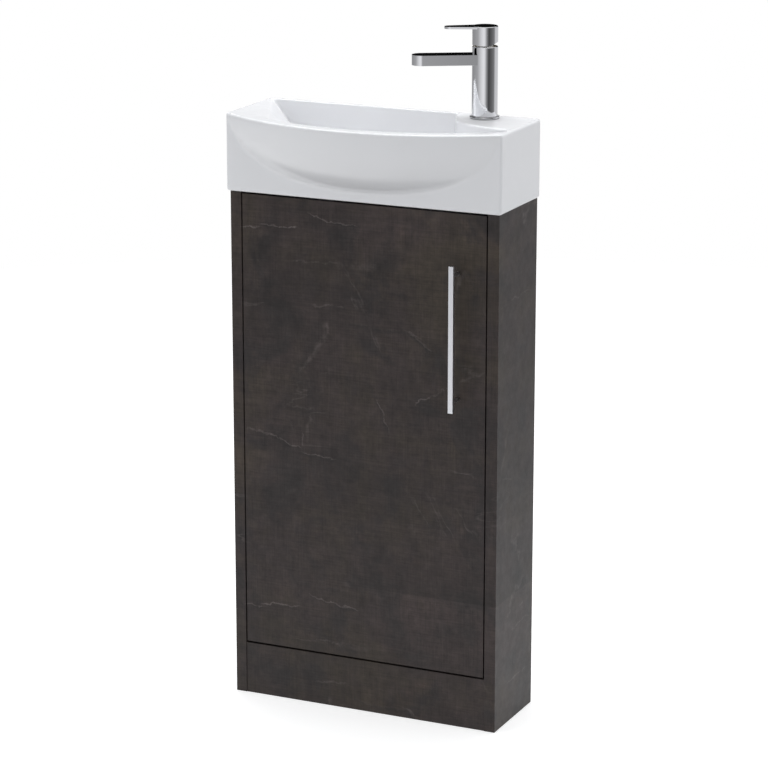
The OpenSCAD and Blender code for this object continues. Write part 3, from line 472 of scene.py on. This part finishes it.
metalSettings = {
    # slot: material, colour, roughness and its spread, how the grain is drawn out, its scale and bump
    "chrome": ("polishedChrome", (0.72, 0.725, 0.74), 0.05, 0.02, (1.0, 1.0, 1.0), 90.0, 0.02),
    "satin_metal": ("satinAluminium", (0.70, 0.705, 0.735), 0.34, 0.04, (1.0, 1.0, 0.03), 2600.0, 0.10),
    "steel": ("nickelSteel", (0.52, 0.52, 0.53), 0.28, 0.04, (1.0, 1.0, 1.0), 700.0, 0.08),
    "brass": ("turnedBrass", (0.66, 0.53, 0.33), 0.30, 0.04, (1.0, 1.0, 8.0), 300.0, 0.12),
}
softSettings = {
    # slot: material, colour, roughness, the grain's bump and scale
    "rubber": ("blackRubber", (0.028, 0.028, 0.029), 0.75, 0.25, 900.0),
    "white_plastic": ("mouldedPlastic", (0.72, 0.72, 0.71), 0.42, 0.10, 1200.0),
}

finishes = {
    "slate_board": makeSlate(slateSettings),
    "ceramic": makeGlaze(glazeSettings),
    "timber": makeBeech(beechSettings),
}
for slot, row in metalSettings.items():
    finishes[slot] = makeMetal(*row)
for slot, row in softSettings.items():
    finishes[slot] = makeSoft(*row)
slotOf = {p["node"]: p["material_slot"] for p in frame["record"]["subparts"]}
for name, obj in nodes.items():
    obj.data.materials.clear()
    obj.data.materials.append(finishes[slotOf[name]])
print("finishes made:", len(finishes))


# helpers for pieces: weld distance, and how far two faces may turn and still count as one flat face
meshSettings = {"weld": 0.001 * mm, "flatWithin": math.radians(0.5)}


def bodyOf(node):
    for body, members in frame["record"]["behaviour"]["bodies"].items():
        if node in members:
            return body


def mergedCopy(node, name):
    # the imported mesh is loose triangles: the copy is welded and its flat faces joined
    source = bmesh.new()
    source.from_mesh(nodes[node].data)
    bmesh.ops.remove_doubles(source, verts=source.verts, dist=meshSettings["weld"])
    bmesh.ops.dissolve_limit(source, angle_limit=meshSettings["flatWithin"], verts=source.verts,
                             edges=source.edges)
    mesh = bpy.data.meshes.new(name)
    source.to_mesh(mesh)
    source.free()
    piece = bpy.data.objects.new(name, mesh)
    bpy.context.scene.collection.objects.link(piece)
    return piece


def applyModifiers(piece):
    graph = bpy.context.evaluated_depsgraph_get()
    mesh = bpy.data.meshes.new_from_object(piece.evaluated_get(graph))
    old = piece.data
    piece.modifiers.clear()
    piece.data = mesh
    mesh.name = piece.name
    bpy.data.meshes.remove(old)


def smoothBy(piece, degrees):
    for p in piece.data.polygons:
        p.use_smooth = True
    limit = math.radians(degrees)
    mesh = bmesh.new()
    mesh.from_mesh(piece.data)
    for e in mesh.edges:
        e.smooth = len(e.link_faces) == 2 and e.calc_face_angle(0) < limit
    mesh.to_mesh(piece.data)
    mesh.free()


def keepFlat(piece):
    # flat faces stay flat in the shading beside a small rounded edge
    weigh = piece.modifiers.new("flatShading", "WEIGHTED_NORMAL")
    weigh.keep_sharp, weigh.weight = True, 100
    applyModifiers(piece)


def finishPiece(piece, node):
    slot = slotOf[node]
    piece.data.materials.clear()
    piece.data.materials.append(finishes[slot])
    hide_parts(node)
    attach(piece, bodyOf(node))


# boards: the long edges get the small radius of their edging

boardSettings = {
    "boards": ("left_side_panel", "right_side_panel", "plinth_panel", "bottom_panel", "front_top_rail",
               "rear_top_rail", "rear_bottom_rail", "shelf", "door"),
    "edgeRadius": 0.7 * mm,
    "segments": 2,
    "longEdge": 16 * mm,
    "alongAxis": 0.9999,      # an edge this much along one axis counts as straight
    "onFace": 0.01 * mm,      # an edge this near the board's box lies on it
    "smoothBelow": 50,
}


def edgeBoard(node, s):
    piece = mergedCopy(node, node + "_edged")
    low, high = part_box(node)
    mesh = bmesh.new()
    mesh.from_mesh(piece.data)
    weight = mesh.edges.layers.float.new("bevel_weight_edge")
    for e in mesh.edges:
        a, b = (v.co for v in e.verts)
        along = (b - a).normalized()
        straight = max(abs(c) for c in along) > s["alongAxis"]
        axis = max(range(3), key=lambda i: abs(along[i]))
        others = [i for i in range(3) if i != axis]
        sides = sum(min(abs(a[i] - low[i]), abs(a[i] - high[i])) < s["onFace"] for i in others)
        if straight and sides == 2 and (b - a).length > s["longEdge"]:
            e[weight] = 1.0
    mesh.to_mesh(piece.data)
    mesh.free()
    bevel = piece.modifiers.new("edging", "BEVEL")
    bevel.limit_method, bevel.width, bevel.segments = "WEIGHT", s["edgeRadius"], s["segments"]
    bevel.harden_normals = False
    applyModifiers(piece)
    smoothBy(piece, s["smoothBelow"])
    keepFlat(piece)
    finishPiece(piece, node)


for node in boardSettings["boards"]:
    edgeBoard(node, boardSettings)
print("boards edged")


# basin: the glaze rounds every edge of the ceramic

basinSettings = {
    "voxel": 2.4 * mm,
    "softening": 6,      # rounds of smoothing
    "softenBy": 0.5,
}


def glazeBasin(s):
    piece = mergedCopy("basin", "basin_glazed")
    remesh = piece.modifiers.new("clay", "REMESH")
    remesh.mode, remesh.voxel_size, remesh.adaptivity = "VOXEL", s["voxel"], 0.0
    applyModifiers(piece)
    soft = piece.modifiers.new("glaze", "SMOOTH")
    soft.factor, soft.iterations = s["softenBy"], s["softening"]
    applyModifiers(piece)
    for p in piece.data.polygons:
        p.use_smooth = True
    finishPiece(piece, "basin")
    print("basin faces:", len(piece.data.polygons))


glazeBasin(basinSettings)


# plated pieces: every sharp edge gets the small radius that polishing leaves

platedSettings = {
    # node: (edge radius, segments)
    "pieces": {
        "tap_body": (0.8 * mm, 3),
        "tap_lever": (0.6 * mm, 3),
        "tap_base_ring": (1.5 * mm, 4),
        "aerator_housing": (0.25 * mm, 2),
        "index_cap": (0.3 * mm, 2),
        "waste_body": (0.3 * mm, 2),
        "waste_plug": (0.5 * mm, 3),
        "handle_bar": (0.5 * mm, 3),
    },
    "sharpAbove": 35,
    "smoothBelow": 32,
}


def softenEdges(node, radius, segments, s):
    piece = mergedCopy(node, node + "_polished")
    bevel = piece.modifiers.new("polish", "BEVEL")
    bevel.limit_method, bevel.angle_limit = "ANGLE", math.radians(s["sharpAbove"])
    bevel.width, bevel.segments, bevel.use_clamp_overlap = radius, segments, True
    applyModifiers(piece)
    smoothBy(piece, s["smoothBelow"])
    keepFlat(piece)
    finishPiece(piece, node)


for node, (radius, segments) in platedSettings["pieces"].items():
    softenEdges(node, radius, segments, platedSettings)
print("edges polished:", len(platedSettings["pieces"]))


# screws and dowels: one tree for each kind, placed on points with the way they point

screwSettings = {
    # node: (the axis that its screws run along, thread pitch)
    "nodes": {
        "bracket_screws": (0, 1.5 * mm),
        "hinge_plate_screws": (0, 1.5 * mm),
        "hinge_cup_screws": (1, 1.4 * mm),
    },
    "threadDepth": 0.35 * mm,
    "crossWidth": 0.8 * mm,
    "crossDepth": 1.1 * mm,
    "crossReach": 1.1,      # how long the cross is, in head radii
    "tip": 2.0 * mm,
    "tipShare": 0.15,      # the point's end, as a share of the core
    "threadReach": 0.94,      # how much of the straight shank carries thread
    "ridge": 0.6,      # the thread wire's radius, as a share of the thread's depth
}
dowelSettings = {"node": "dowels", "axis": 0, "flutes": 12, "fluteDepth": 0.35 * mm, "chamfer": 0.8 * mm}
rodSettings = {"endWithin": 0.01 * mm, "smoothBelow": 40}


class Tree:
    # a Geometry Nodes tree with named inputs

    def __init__(self, name, inputs):
        self.group = bpy.data.node_groups.new(name, "GeometryNodeTree")
        self.group.interface.new_socket(name="Geometry", in_out="INPUT", socket_type="NodeSocketGeometry")
        for label, kind in inputs:
            self.group.interface.new_socket(name=label, in_out="INPUT", socket_type=kind)
        self.group.interface.new_socket(name="Geometry", in_out="OUTPUT", socket_type="NodeSocketGeometry")
        self.start = self.group.nodes.new("NodeGroupInput").outputs
        self.end = self.group.nodes.new("NodeGroupOutput").inputs

    def put(self, kind, settings=None, **inputs):
        node = self.group.nodes.new(kind)
        for key, value in (settings or {}).items():
            setattr(node, key, value)
        for key, value in inputs.items():
            self.join(value, node.inputs[key.replace("_", " ")])
        return node

    def join(self, value, socket):
        if isinstance(value, bpy.types.NodeSocket):
            self.group.links.new(value, socket)
        else:
            socket.default_value = value

    def math(self, op, a, b=0.0):
        node = self.group.nodes.new("ShaderNodeMath")
        node.operation = op
        self.join(a, node.inputs[0])
        self.join(b, node.inputs[1])
        return node.outputs[0]

    def times(self, a, b):
        return self.math("MULTIPLY", a, b)

    def vector(self, x=0.0, y=0.0, z=0.0):
        return self.put("ShaderNodeCombineXYZ", X=x, Y=y, Z=z).outputs[0]

    def lift(self, geometry, height):
        move = self.vector(z=height)
        return self.put("GeometryNodeTransform", Geometry=geometry, Translation=move).outputs[0]

    def joined(self, *parts):
        node = self.group.nodes.new("GeometryNodeJoinGeometry")
        for part in parts:
            self.group.links.new(part, node.inputs[0])
        return node.outputs[0]

    def placeOnPoints(self, shape, material):
        aim = self.put("GeometryNodeInputNamedAttribute", {"data_type": "FLOAT_VECTOR"}, Name="aim")
        turn = self.put("FunctionNodeAlignRotationToVector", {"axis": "Z"}, Vector=aim.outputs[0])
        placed = self.put("GeometryNodeInstanceOnPoints", Points=self.start["Geometry"], Instance=shape,
                          Rotation=turn.outputs[0])
        real = self.put("GeometryNodeRealizeInstances", Geometry=placed.outputs[0])
        done = self.put("GeometryNodeSetMaterial", Geometry=real.outputs[0], Material=material)
        self.join(done.outputs[0], self.end["Geometry"])


# a screw along +Z, its head's face at 0: cross-cut head, core, helical thread and point
def buildScrewTree(s):
    size = "NodeSocketFloat"
    t = Tree("countersunkScrew", [(label, size) for label in (
        "Length", "Shank Radius", "Head Radius", "Head Height", "Thread Pitch", "Thread Depth", "Cross Width",
        "Cross Depth", "Tip")] + [("Material", "NodeSocketMaterial")])
    given = t.start
    core = t.math("SUBTRACT", given["Shank Radius"], given["Thread Depth"])
    head = t.put("GeometryNodeMeshCone", Vertices=32, Radius_Top=core, Radius_Bottom=given["Head Radius"],
                 Depth=given["Head Height"]).outputs["Mesh"]
    arm = t.times(given["Head Radius"], s["crossReach"])
    deep = t.times(given["Cross Depth"], 2.0)
    cutA = t.put("GeometryNodeMeshCube", Size=t.vector(arm, given["Cross Width"], deep)).outputs["Mesh"]
    cutB = t.put("GeometryNodeMeshCube", Size=t.vector(given["Cross Width"], arm, deep)).outputs["Mesh"]
    crossed = t.group.nodes.new("GeometryNodeMeshBoolean")
    crossed.operation = "DIFFERENCE"
    t.join(head, crossed.inputs["Mesh 1"])
    t.join(cutA, crossed.inputs["Mesh 2"])
    t.join(cutB, crossed.inputs["Mesh 2"])
    straight = t.math("SUBTRACT", t.math("SUBTRACT", given["Length"], given["Head Height"]), given["Tip"])
    shank = t.put("GeometryNodeMeshCone", Vertices=16, Radius_Top=core, Radius_Bottom=core, Depth=straight)
    point = t.put("GeometryNodeMeshCone", Vertices=16, Radius_Top=t.times(core, s["tipShare"]),
                  Radius_Bottom=core, Depth=given["Tip"])
    threaded = t.times(straight, s["threadReach"])
    wire = t.times(given["Thread Depth"], s["ridge"])
    ridge = t.math("SUBTRACT", given["Shank Radius"], wire)
    turns = t.math("DIVIDE", threaded, given["Thread Pitch"])
    helix = t.put("GeometryNodeCurveSpiral", Resolution=20, Rotations=turns, Start_Radius=ridge,
                  End_Radius=ridge, Height=threaded)
    profile = t.put("GeometryNodeCurvePrimitiveCircle", Resolution=4, Radius=wire)
    thread = t.put("GeometryNodeCurveToMesh", Curve=helix.outputs[0], Profile_Curve=profile.outputs["Curve"],
                   Fill_Caps=True)
    whole = t.joined(crossed.outputs["Mesh"], t.lift(shank.outputs["Mesh"], given["Head Height"]),
                     t.lift(point.outputs["Mesh"], t.math("SUBTRACT", given["Length"], given["Tip"])),
                     t.lift(thread.outputs[0], t.math("ADD", given["Head Height"], given["Thread Depth"])))
    t.placeOnPoints(whole, given["Material"])
    return t.group


# a fluted beech dowel along +Z from 0
def buildDowelTree():
    t = Tree("flutedDowel", [(label, "NodeSocketFloat") for label in (
        "Length", "Radius", "Flutes", "Flute Depth", "Chamfer")] + [("Material", "NodeSocketMaterial")])
    given = t.start
    rod = t.put("GeometryNodeMeshCylinder", Vertices=96, Side_Segments=20, Radius=given["Radius"],
                Depth=given["Length"]).outputs["Mesh"]
    here = t.put("ShaderNodeSeparateXYZ", Vector=t.put("GeometryNodeInputPosition").outputs[0]).outputs
    half = t.times(given["Length"], 0.5)
    angle = t.math("ARCTAN2", here["Y"], here["X"])
    wave = t.math("MAXIMUM", t.math("COSINE", t.times(angle, given["Flutes"])), 0.0)
    fromEnd = t.math("SUBTRACT", half, t.math("ABSOLUTE", here["Z"]))
    endCut = t.math("MAXIMUM", t.math("SUBTRACT", given["Chamfer"], fromEnd), 0.0)
    cut = t.math("ADD", t.times(wave, given["Flute Depth"]), endCut)
    share = t.math("SUBTRACT", 1.0, t.math("DIVIDE", cut, given["Radius"]))
    moved = t.vector(t.times(here["X"], share), t.times(here["Y"], share), here["Z"])
    shaped = t.put("GeometryNodeSetPosition", Geometry=rod, Position=moved).outputs[0]
    t.placeOnPoints(t.lift(shaped, half), given["Material"])
    return t.group


def solidsOf(node):
    # the points of each of a node's separate solids
    mesh = bmesh.new()
    mesh.from_mesh(nodes[node].data)
    bmesh.ops.remove_doubles(mesh, verts=mesh.verts, dist=meshSettings["weld"])
    left, found = set(mesh.verts), []
    for first in mesh.verts:
        if first not in left:
            continue
        left.remove(first)
        stack, points = [first], []
        while stack:
            v = stack.pop()
            points.append(v.co.copy())
            for e in v.link_edges:
                other = e.other_vert(v)
                if other in left:
                    left.remove(other)
                    stack.append(other)
        found.append(points)
    mesh.free()
    return found


def radiusAt(points, middle, axis, end):
    # how far the points at one end of a rod are from its axis
    others = [i for i in range(3) if i != axis]
    return max(math.dist([p[i] for i in others], [middle[i] for i in others])
               for p in points if abs(p[axis] - end) < rodSettings["endWithin"])


def measureRods(node, axis):
    # for each rod: the wide end's middle and the way it runs; then length, narrow and wide radius
    places, sizes = [], None
    for points in solidsOf(node):
        low, high = min(p[axis] for p in points), max(p[axis] for p in points)
        middle = [(min(p[i] for p in points) + max(p[i] for p in points)) / 2 for i in range(3)]
        radius = [radiusAt(points, middle, axis, end) for end in (low, high)]
        start, aim = list(middle), [0.0, 0.0, 0.0]
        start[axis], aim[axis] = (low, 1.0) if radius[0] >= radius[1] else (high, -1.0)
        places.append((start, aim))
        sizes = (high - low, min(radius), max(radius))
    return places, sizes


def growOnPoints(node, places, group, values):
    mesh = bpy.data.meshes.new(node + "_made")
    mesh.from_pydata([start for start, aim in places], [], [])
    aims = mesh.attributes.new("aim", "FLOAT_VECTOR", "POINT")
    for i, (start, aim) in enumerate(places):
        aims.data[i].vector = aim
    piece = bpy.data.objects.new(node + "_made", mesh)
    bpy.context.scene.collection.objects.link(piece)
    grow = piece.modifiers.new("grow", "NODES")
    grow.node_group = group
    names = {item.name: item.identifier for item in group.interface.items_tree if item.in_out == "INPUT"}
    for label, value in values.items():
        grow[names[label]] = value
    applyModifiers(piece)
    weld = bmesh.new()
    weld.from_mesh(piece.data)
    bmesh.ops.remove_doubles(weld, verts=weld.verts, dist=meshSettings["weld"])
    bmesh.ops.recalc_face_normals(weld, faces=weld.faces)
    weld.to_mesh(piece.data)
    weld.free()
    smoothBy(piece, rodSettings["smoothBelow"])
    finishPiece(piece, node)
    print(node, "grown:", len(places))


def growScrews(s):
    tree = buildScrewTree(s)
    for node, (axis, pitch) in s["nodes"].items():
        places, (length, shank, head) = measureRods(node, axis)
        growOnPoints(node, places, tree, {
            "Length": length, "Shank Radius": shank, "Head Radius": head, "Head Height": head - shank,
            "Thread Pitch": pitch, "Thread Depth": s["threadDepth"], "Cross Width": s["crossWidth"],
            "Cross Depth": s["crossDepth"], "Tip": s["tip"], "Material": finishes[slotOf[node]]})


def growDowels(s):
    places, (length, _, radius) = measureRods(s["node"], s["axis"])
    growOnPoints(s["node"], places, buildDowelTree(), {
        "Length": length, "Radius": radius, "Flutes": float(s["flutes"]), "Flute Depth": s["fluteDepth"],
        "Chamfer": s["chamfer"], "Material": finishes[slotOf[s["node"]]]})


growScrews(screwSettings)
growDowels(dowelSettings)


# floor, backdrop and light

stageSettings = {
    "floorColor": (0.59, 0.59, 0.59, 1),
    "floorRadius": 3.2,
    "floorBelow": 0.4 * mm,
    "floorRoughness": 0.9,
    "floorSpecular": 0.1,
    "floorGlow": 0.62,      # what the camera sees of the floor's own light
    "floorGlossGlow": (0.35, 2.2, 0.9, 0.3),      # near and far distance, levels there
    "floorGlossSides": (-0.2, 0.3, 0.85, 1.0),      # front and rear place, shares there
    "wallLevel": 0.615,
    "wallTint": (0.970, 0.981, 1.0, 1),      # of the light that the world gives, not of what shows
    "lamps": (
        # name, place, aim, size, watts
        ("keyBox", (-2.0, -2.1, 0.95), (0.0, 0.0, 0.7), 1.2, 14.5),
        ("topBox", (-0.2, 0.45, 3.2), (0.0, 0.05, 0.9), 1.8, 62.0),
        ("sideBox", (3.0, 0.2, 1.5), (0.0, 0.0, 0.7), 1.6, 12.0),
    ),
    "flag": ((-0.90, 0.35), 0.75, (1.092, 2.3)),      # across, depth and height of the black flag
    "flagLevel": 0.004,
    "tentRadius": 6.0,
    "tentSteps": 144,
    "tentHeights": (-1.5, 9.0),
    "tentBlue": 1.02,
    "darkBand": ((1.25, 1.40, 0.0, 1.0), (4.5, 7.5, 1.0, 0.0)),      # where it starts and where it ends
    "darkSide": (-0.5, 0.5, 1.0, 0.0),      # all of it in front, none behind
    # how bright the reflector tent is round the object, by degrees from straight in front
    "tentLevels": ((-180, 0.73), (-110, 0.33), (-44, 0.46), (-6, 0.87), (12, 1.0), (21, 0.93), (39, 0.33),
                   (57, 0.07), (88, 0.16), (112, 0.26), (124, 0.70), (180, 0.76)),
}


def buildFloor(s):
    mesh = bmesh.new()
    bmesh.ops.create_circle(mesh, cap_ends=True, radius=s["floorRadius"], segments=128)
    data = bpy.data.meshes.new("floor")
    mesh.to_mesh(data)
    mesh.free()
    floor = bpy.data.objects.new("floor", data)
    bpy.context.scene.collection.objects.link(floor)
    floor.location.z = -s["floorBelow"]
    material, sh, skin = newMaterial("paleFloor")
    skin.inputs["Base Color"].default_value = s["floorColor"]
    skin.inputs["Roughness"].default_value = s["floorRoughness"]
    skin.inputs["Specular IOR Level"].default_value = s["floorSpecular"]
    light = material.node_tree.nodes.new("ShaderNodeLightPath")
    mirrored = sh.math("MAXIMUM", light.outputs["Is Glossy Ray"], light.outputs["Is Transmission Ray"])
    skin.inputs["Emission Color"].default_value = (1, 1, 1, 1)
    spot = sh.place()
    away = sh.add("ShaderNodeVectorMath", {"operation": "LENGTH"})
    sh.feed(away.inputs[0], spot)
    parts = sh.add("ShaderNodeSeparateXYZ", None, Vector=spot)
    level = sh.times(sh.ramp(away.outputs["Value"], *s["floorGlossGlow"]),
                     sh.ramp(parts.outputs["Y"], *s["floorGlossSides"]))
    seen = sh.times(light.outputs["Is Camera Ray"], s["floorGlow"])
    sh.feed(skin.inputs["Emission Strength"], sh.math("ADD", seen, sh.times(mirrored, level)))
    floor.data.materials.append(material)


def buildWorld(s):
    world = bpy.data.worlds.new("studio")
    bpy.context.scene.world = world
    world.use_nodes = True
    sh = Shader(world.node_tree)
    world.node_tree.nodes.clear()
    light = sh.add("ShaderNodeLightPath")
    out = sh.add("ShaderNodeOutputWorld")
    background = sh.add("ShaderNodeBackground")
    mirrored = sh.math("MAXIMUM", light.outputs["Is Glossy Ray"], light.outputs["Is Transmission Ray"])
    seen = sh.math("MAXIMUM", light.outputs["Is Camera Ray"], mirrored)
    sh.feed(background.inputs["Color"], sh.mixColor(seen, s["wallTint"], (1, 1, 1, 1)))
    sh.feed(background.inputs["Strength"], sh.ramp(seen, 0.0, 1.0, s["wallLevel"], 1.0))
    sh.feed(out.inputs["Surface"], background.outputs[0])


def hangLamps(s):
    for name, place, aim, size, watts in s["lamps"]:
        data = bpy.data.lights.new(name, "AREA")
        data.shape, data.size, data.energy = "SQUARE", size, watts
        lamp = bpy.data.objects.new(name, data)
        lamp.location = place
        lamp.visible_glossy = False      # the reflectors stand in for the lamps in polished surfaces
        lamp.rotation_mode = "QUATERNION"
        lamp.rotation_quaternion = (Vector(aim) - Vector(place)).to_track_quat("-Z", "Y")
        bpy.context.scene.collection.objects.link(lamp)


# reflectors that only mirrored rays see, as round a tap in a studio: a grey tent, a black flag behind
def addReflector(name, faces):
    mesh = bmesh.new()
    for corners in faces:
        mesh.faces.new([mesh.verts.new(c) for c in corners])
    bmesh.ops.remove_doubles(mesh, verts=mesh.verts, dist=0.01 * mm)
    data = bpy.data.meshes.new(name)
    mesh.to_mesh(data)
    mesh.free()
    card = bpy.data.objects.new(name, data)
    bpy.context.scene.collection.objects.link(card)
    card.visible_camera = card.visible_diffuse = card.visible_shadow = False
    card.visible_transmission = card.visible_volume_scatter = False
    material = bpy.data.materials.new(name)
    material.use_nodes = True
    material.node_tree.nodes.clear()
    data.materials.append(material)
    return Shader(material.node_tree)


def tentFaces(s):
    low, high = s["tentHeights"]
    steps, r = s["tentSteps"], s["tentRadius"]
    turns = [2 * math.pi * i / steps for i in range(steps)]
    ring = [(r * math.sin(turn), -r * math.cos(turn)) for turn in turns]
    return [((*b, low), (*a, low), (*a, high), (*b, high)) for a, b in zip(ring, ring[1:] + ring[:1])]


def buildReflectors(s):
    sh = addReflector("greyTent", tentFaces(s))
    spot = sh.add("ShaderNodeSeparateXYZ", None, Vector=sh.place())
    turn = sh.math("ARCTAN2", spot.outputs["X"], sh.times(spot.outputs["Y"], -1.0))
    ramp = sh.add("ShaderNodeValToRGB", None, Fac=sh.ramp(turn, -math.pi, math.pi))
    stops = ramp.color_ramp.elements
    while len(stops) < len(s["tentLevels"]):
        stops.new(0.5)
    for stop, (degrees, level) in zip(stops, s["tentLevels"]):
        stop.position = (degrees + 180) / 360
        stop.color = (level, level, level * s["tentBlue"], 1)
    # the front half is dark above the object's height, so the tap's flat tops mirror black
    begins, ends = (sh.ramp(spot.outputs["Z"], *edge) for edge in s["darkBand"])
    dark = sh.times(begins, ends, sh.ramp(spot.outputs["Y"], *s["darkSide"]))
    glow = sh.add("ShaderNodeEmission", None, Color=ramp.outputs["Color"],
                  Strength=sh.math("SUBTRACT", 1.0, dark))
    sh.add("ShaderNodeOutputMaterial", None, Surface=glow.outputs[0])
    (x0, x1), y, (z0, z1) = s["flag"]
    sh = addReflector("blackFlag", [((x0, y, z0), (x1, y, z0), (x1, y, z1), (x0, y, z1))])
    glow = sh.add("ShaderNodeEmission", None, Color=(*[s["flagLevel"]] * 3, 1), Strength=1.0)
    sh.add("ShaderNodeOutputMaterial", None, Surface=glow.outputs[0])


buildFloor(stageSettings)
buildWorld(stageSettings)
hangLamps(stageSettings)
buildReflectors(stageSettings)
bpy.context.scene.view_settings.view_transform = "Standard"
print("stage set")
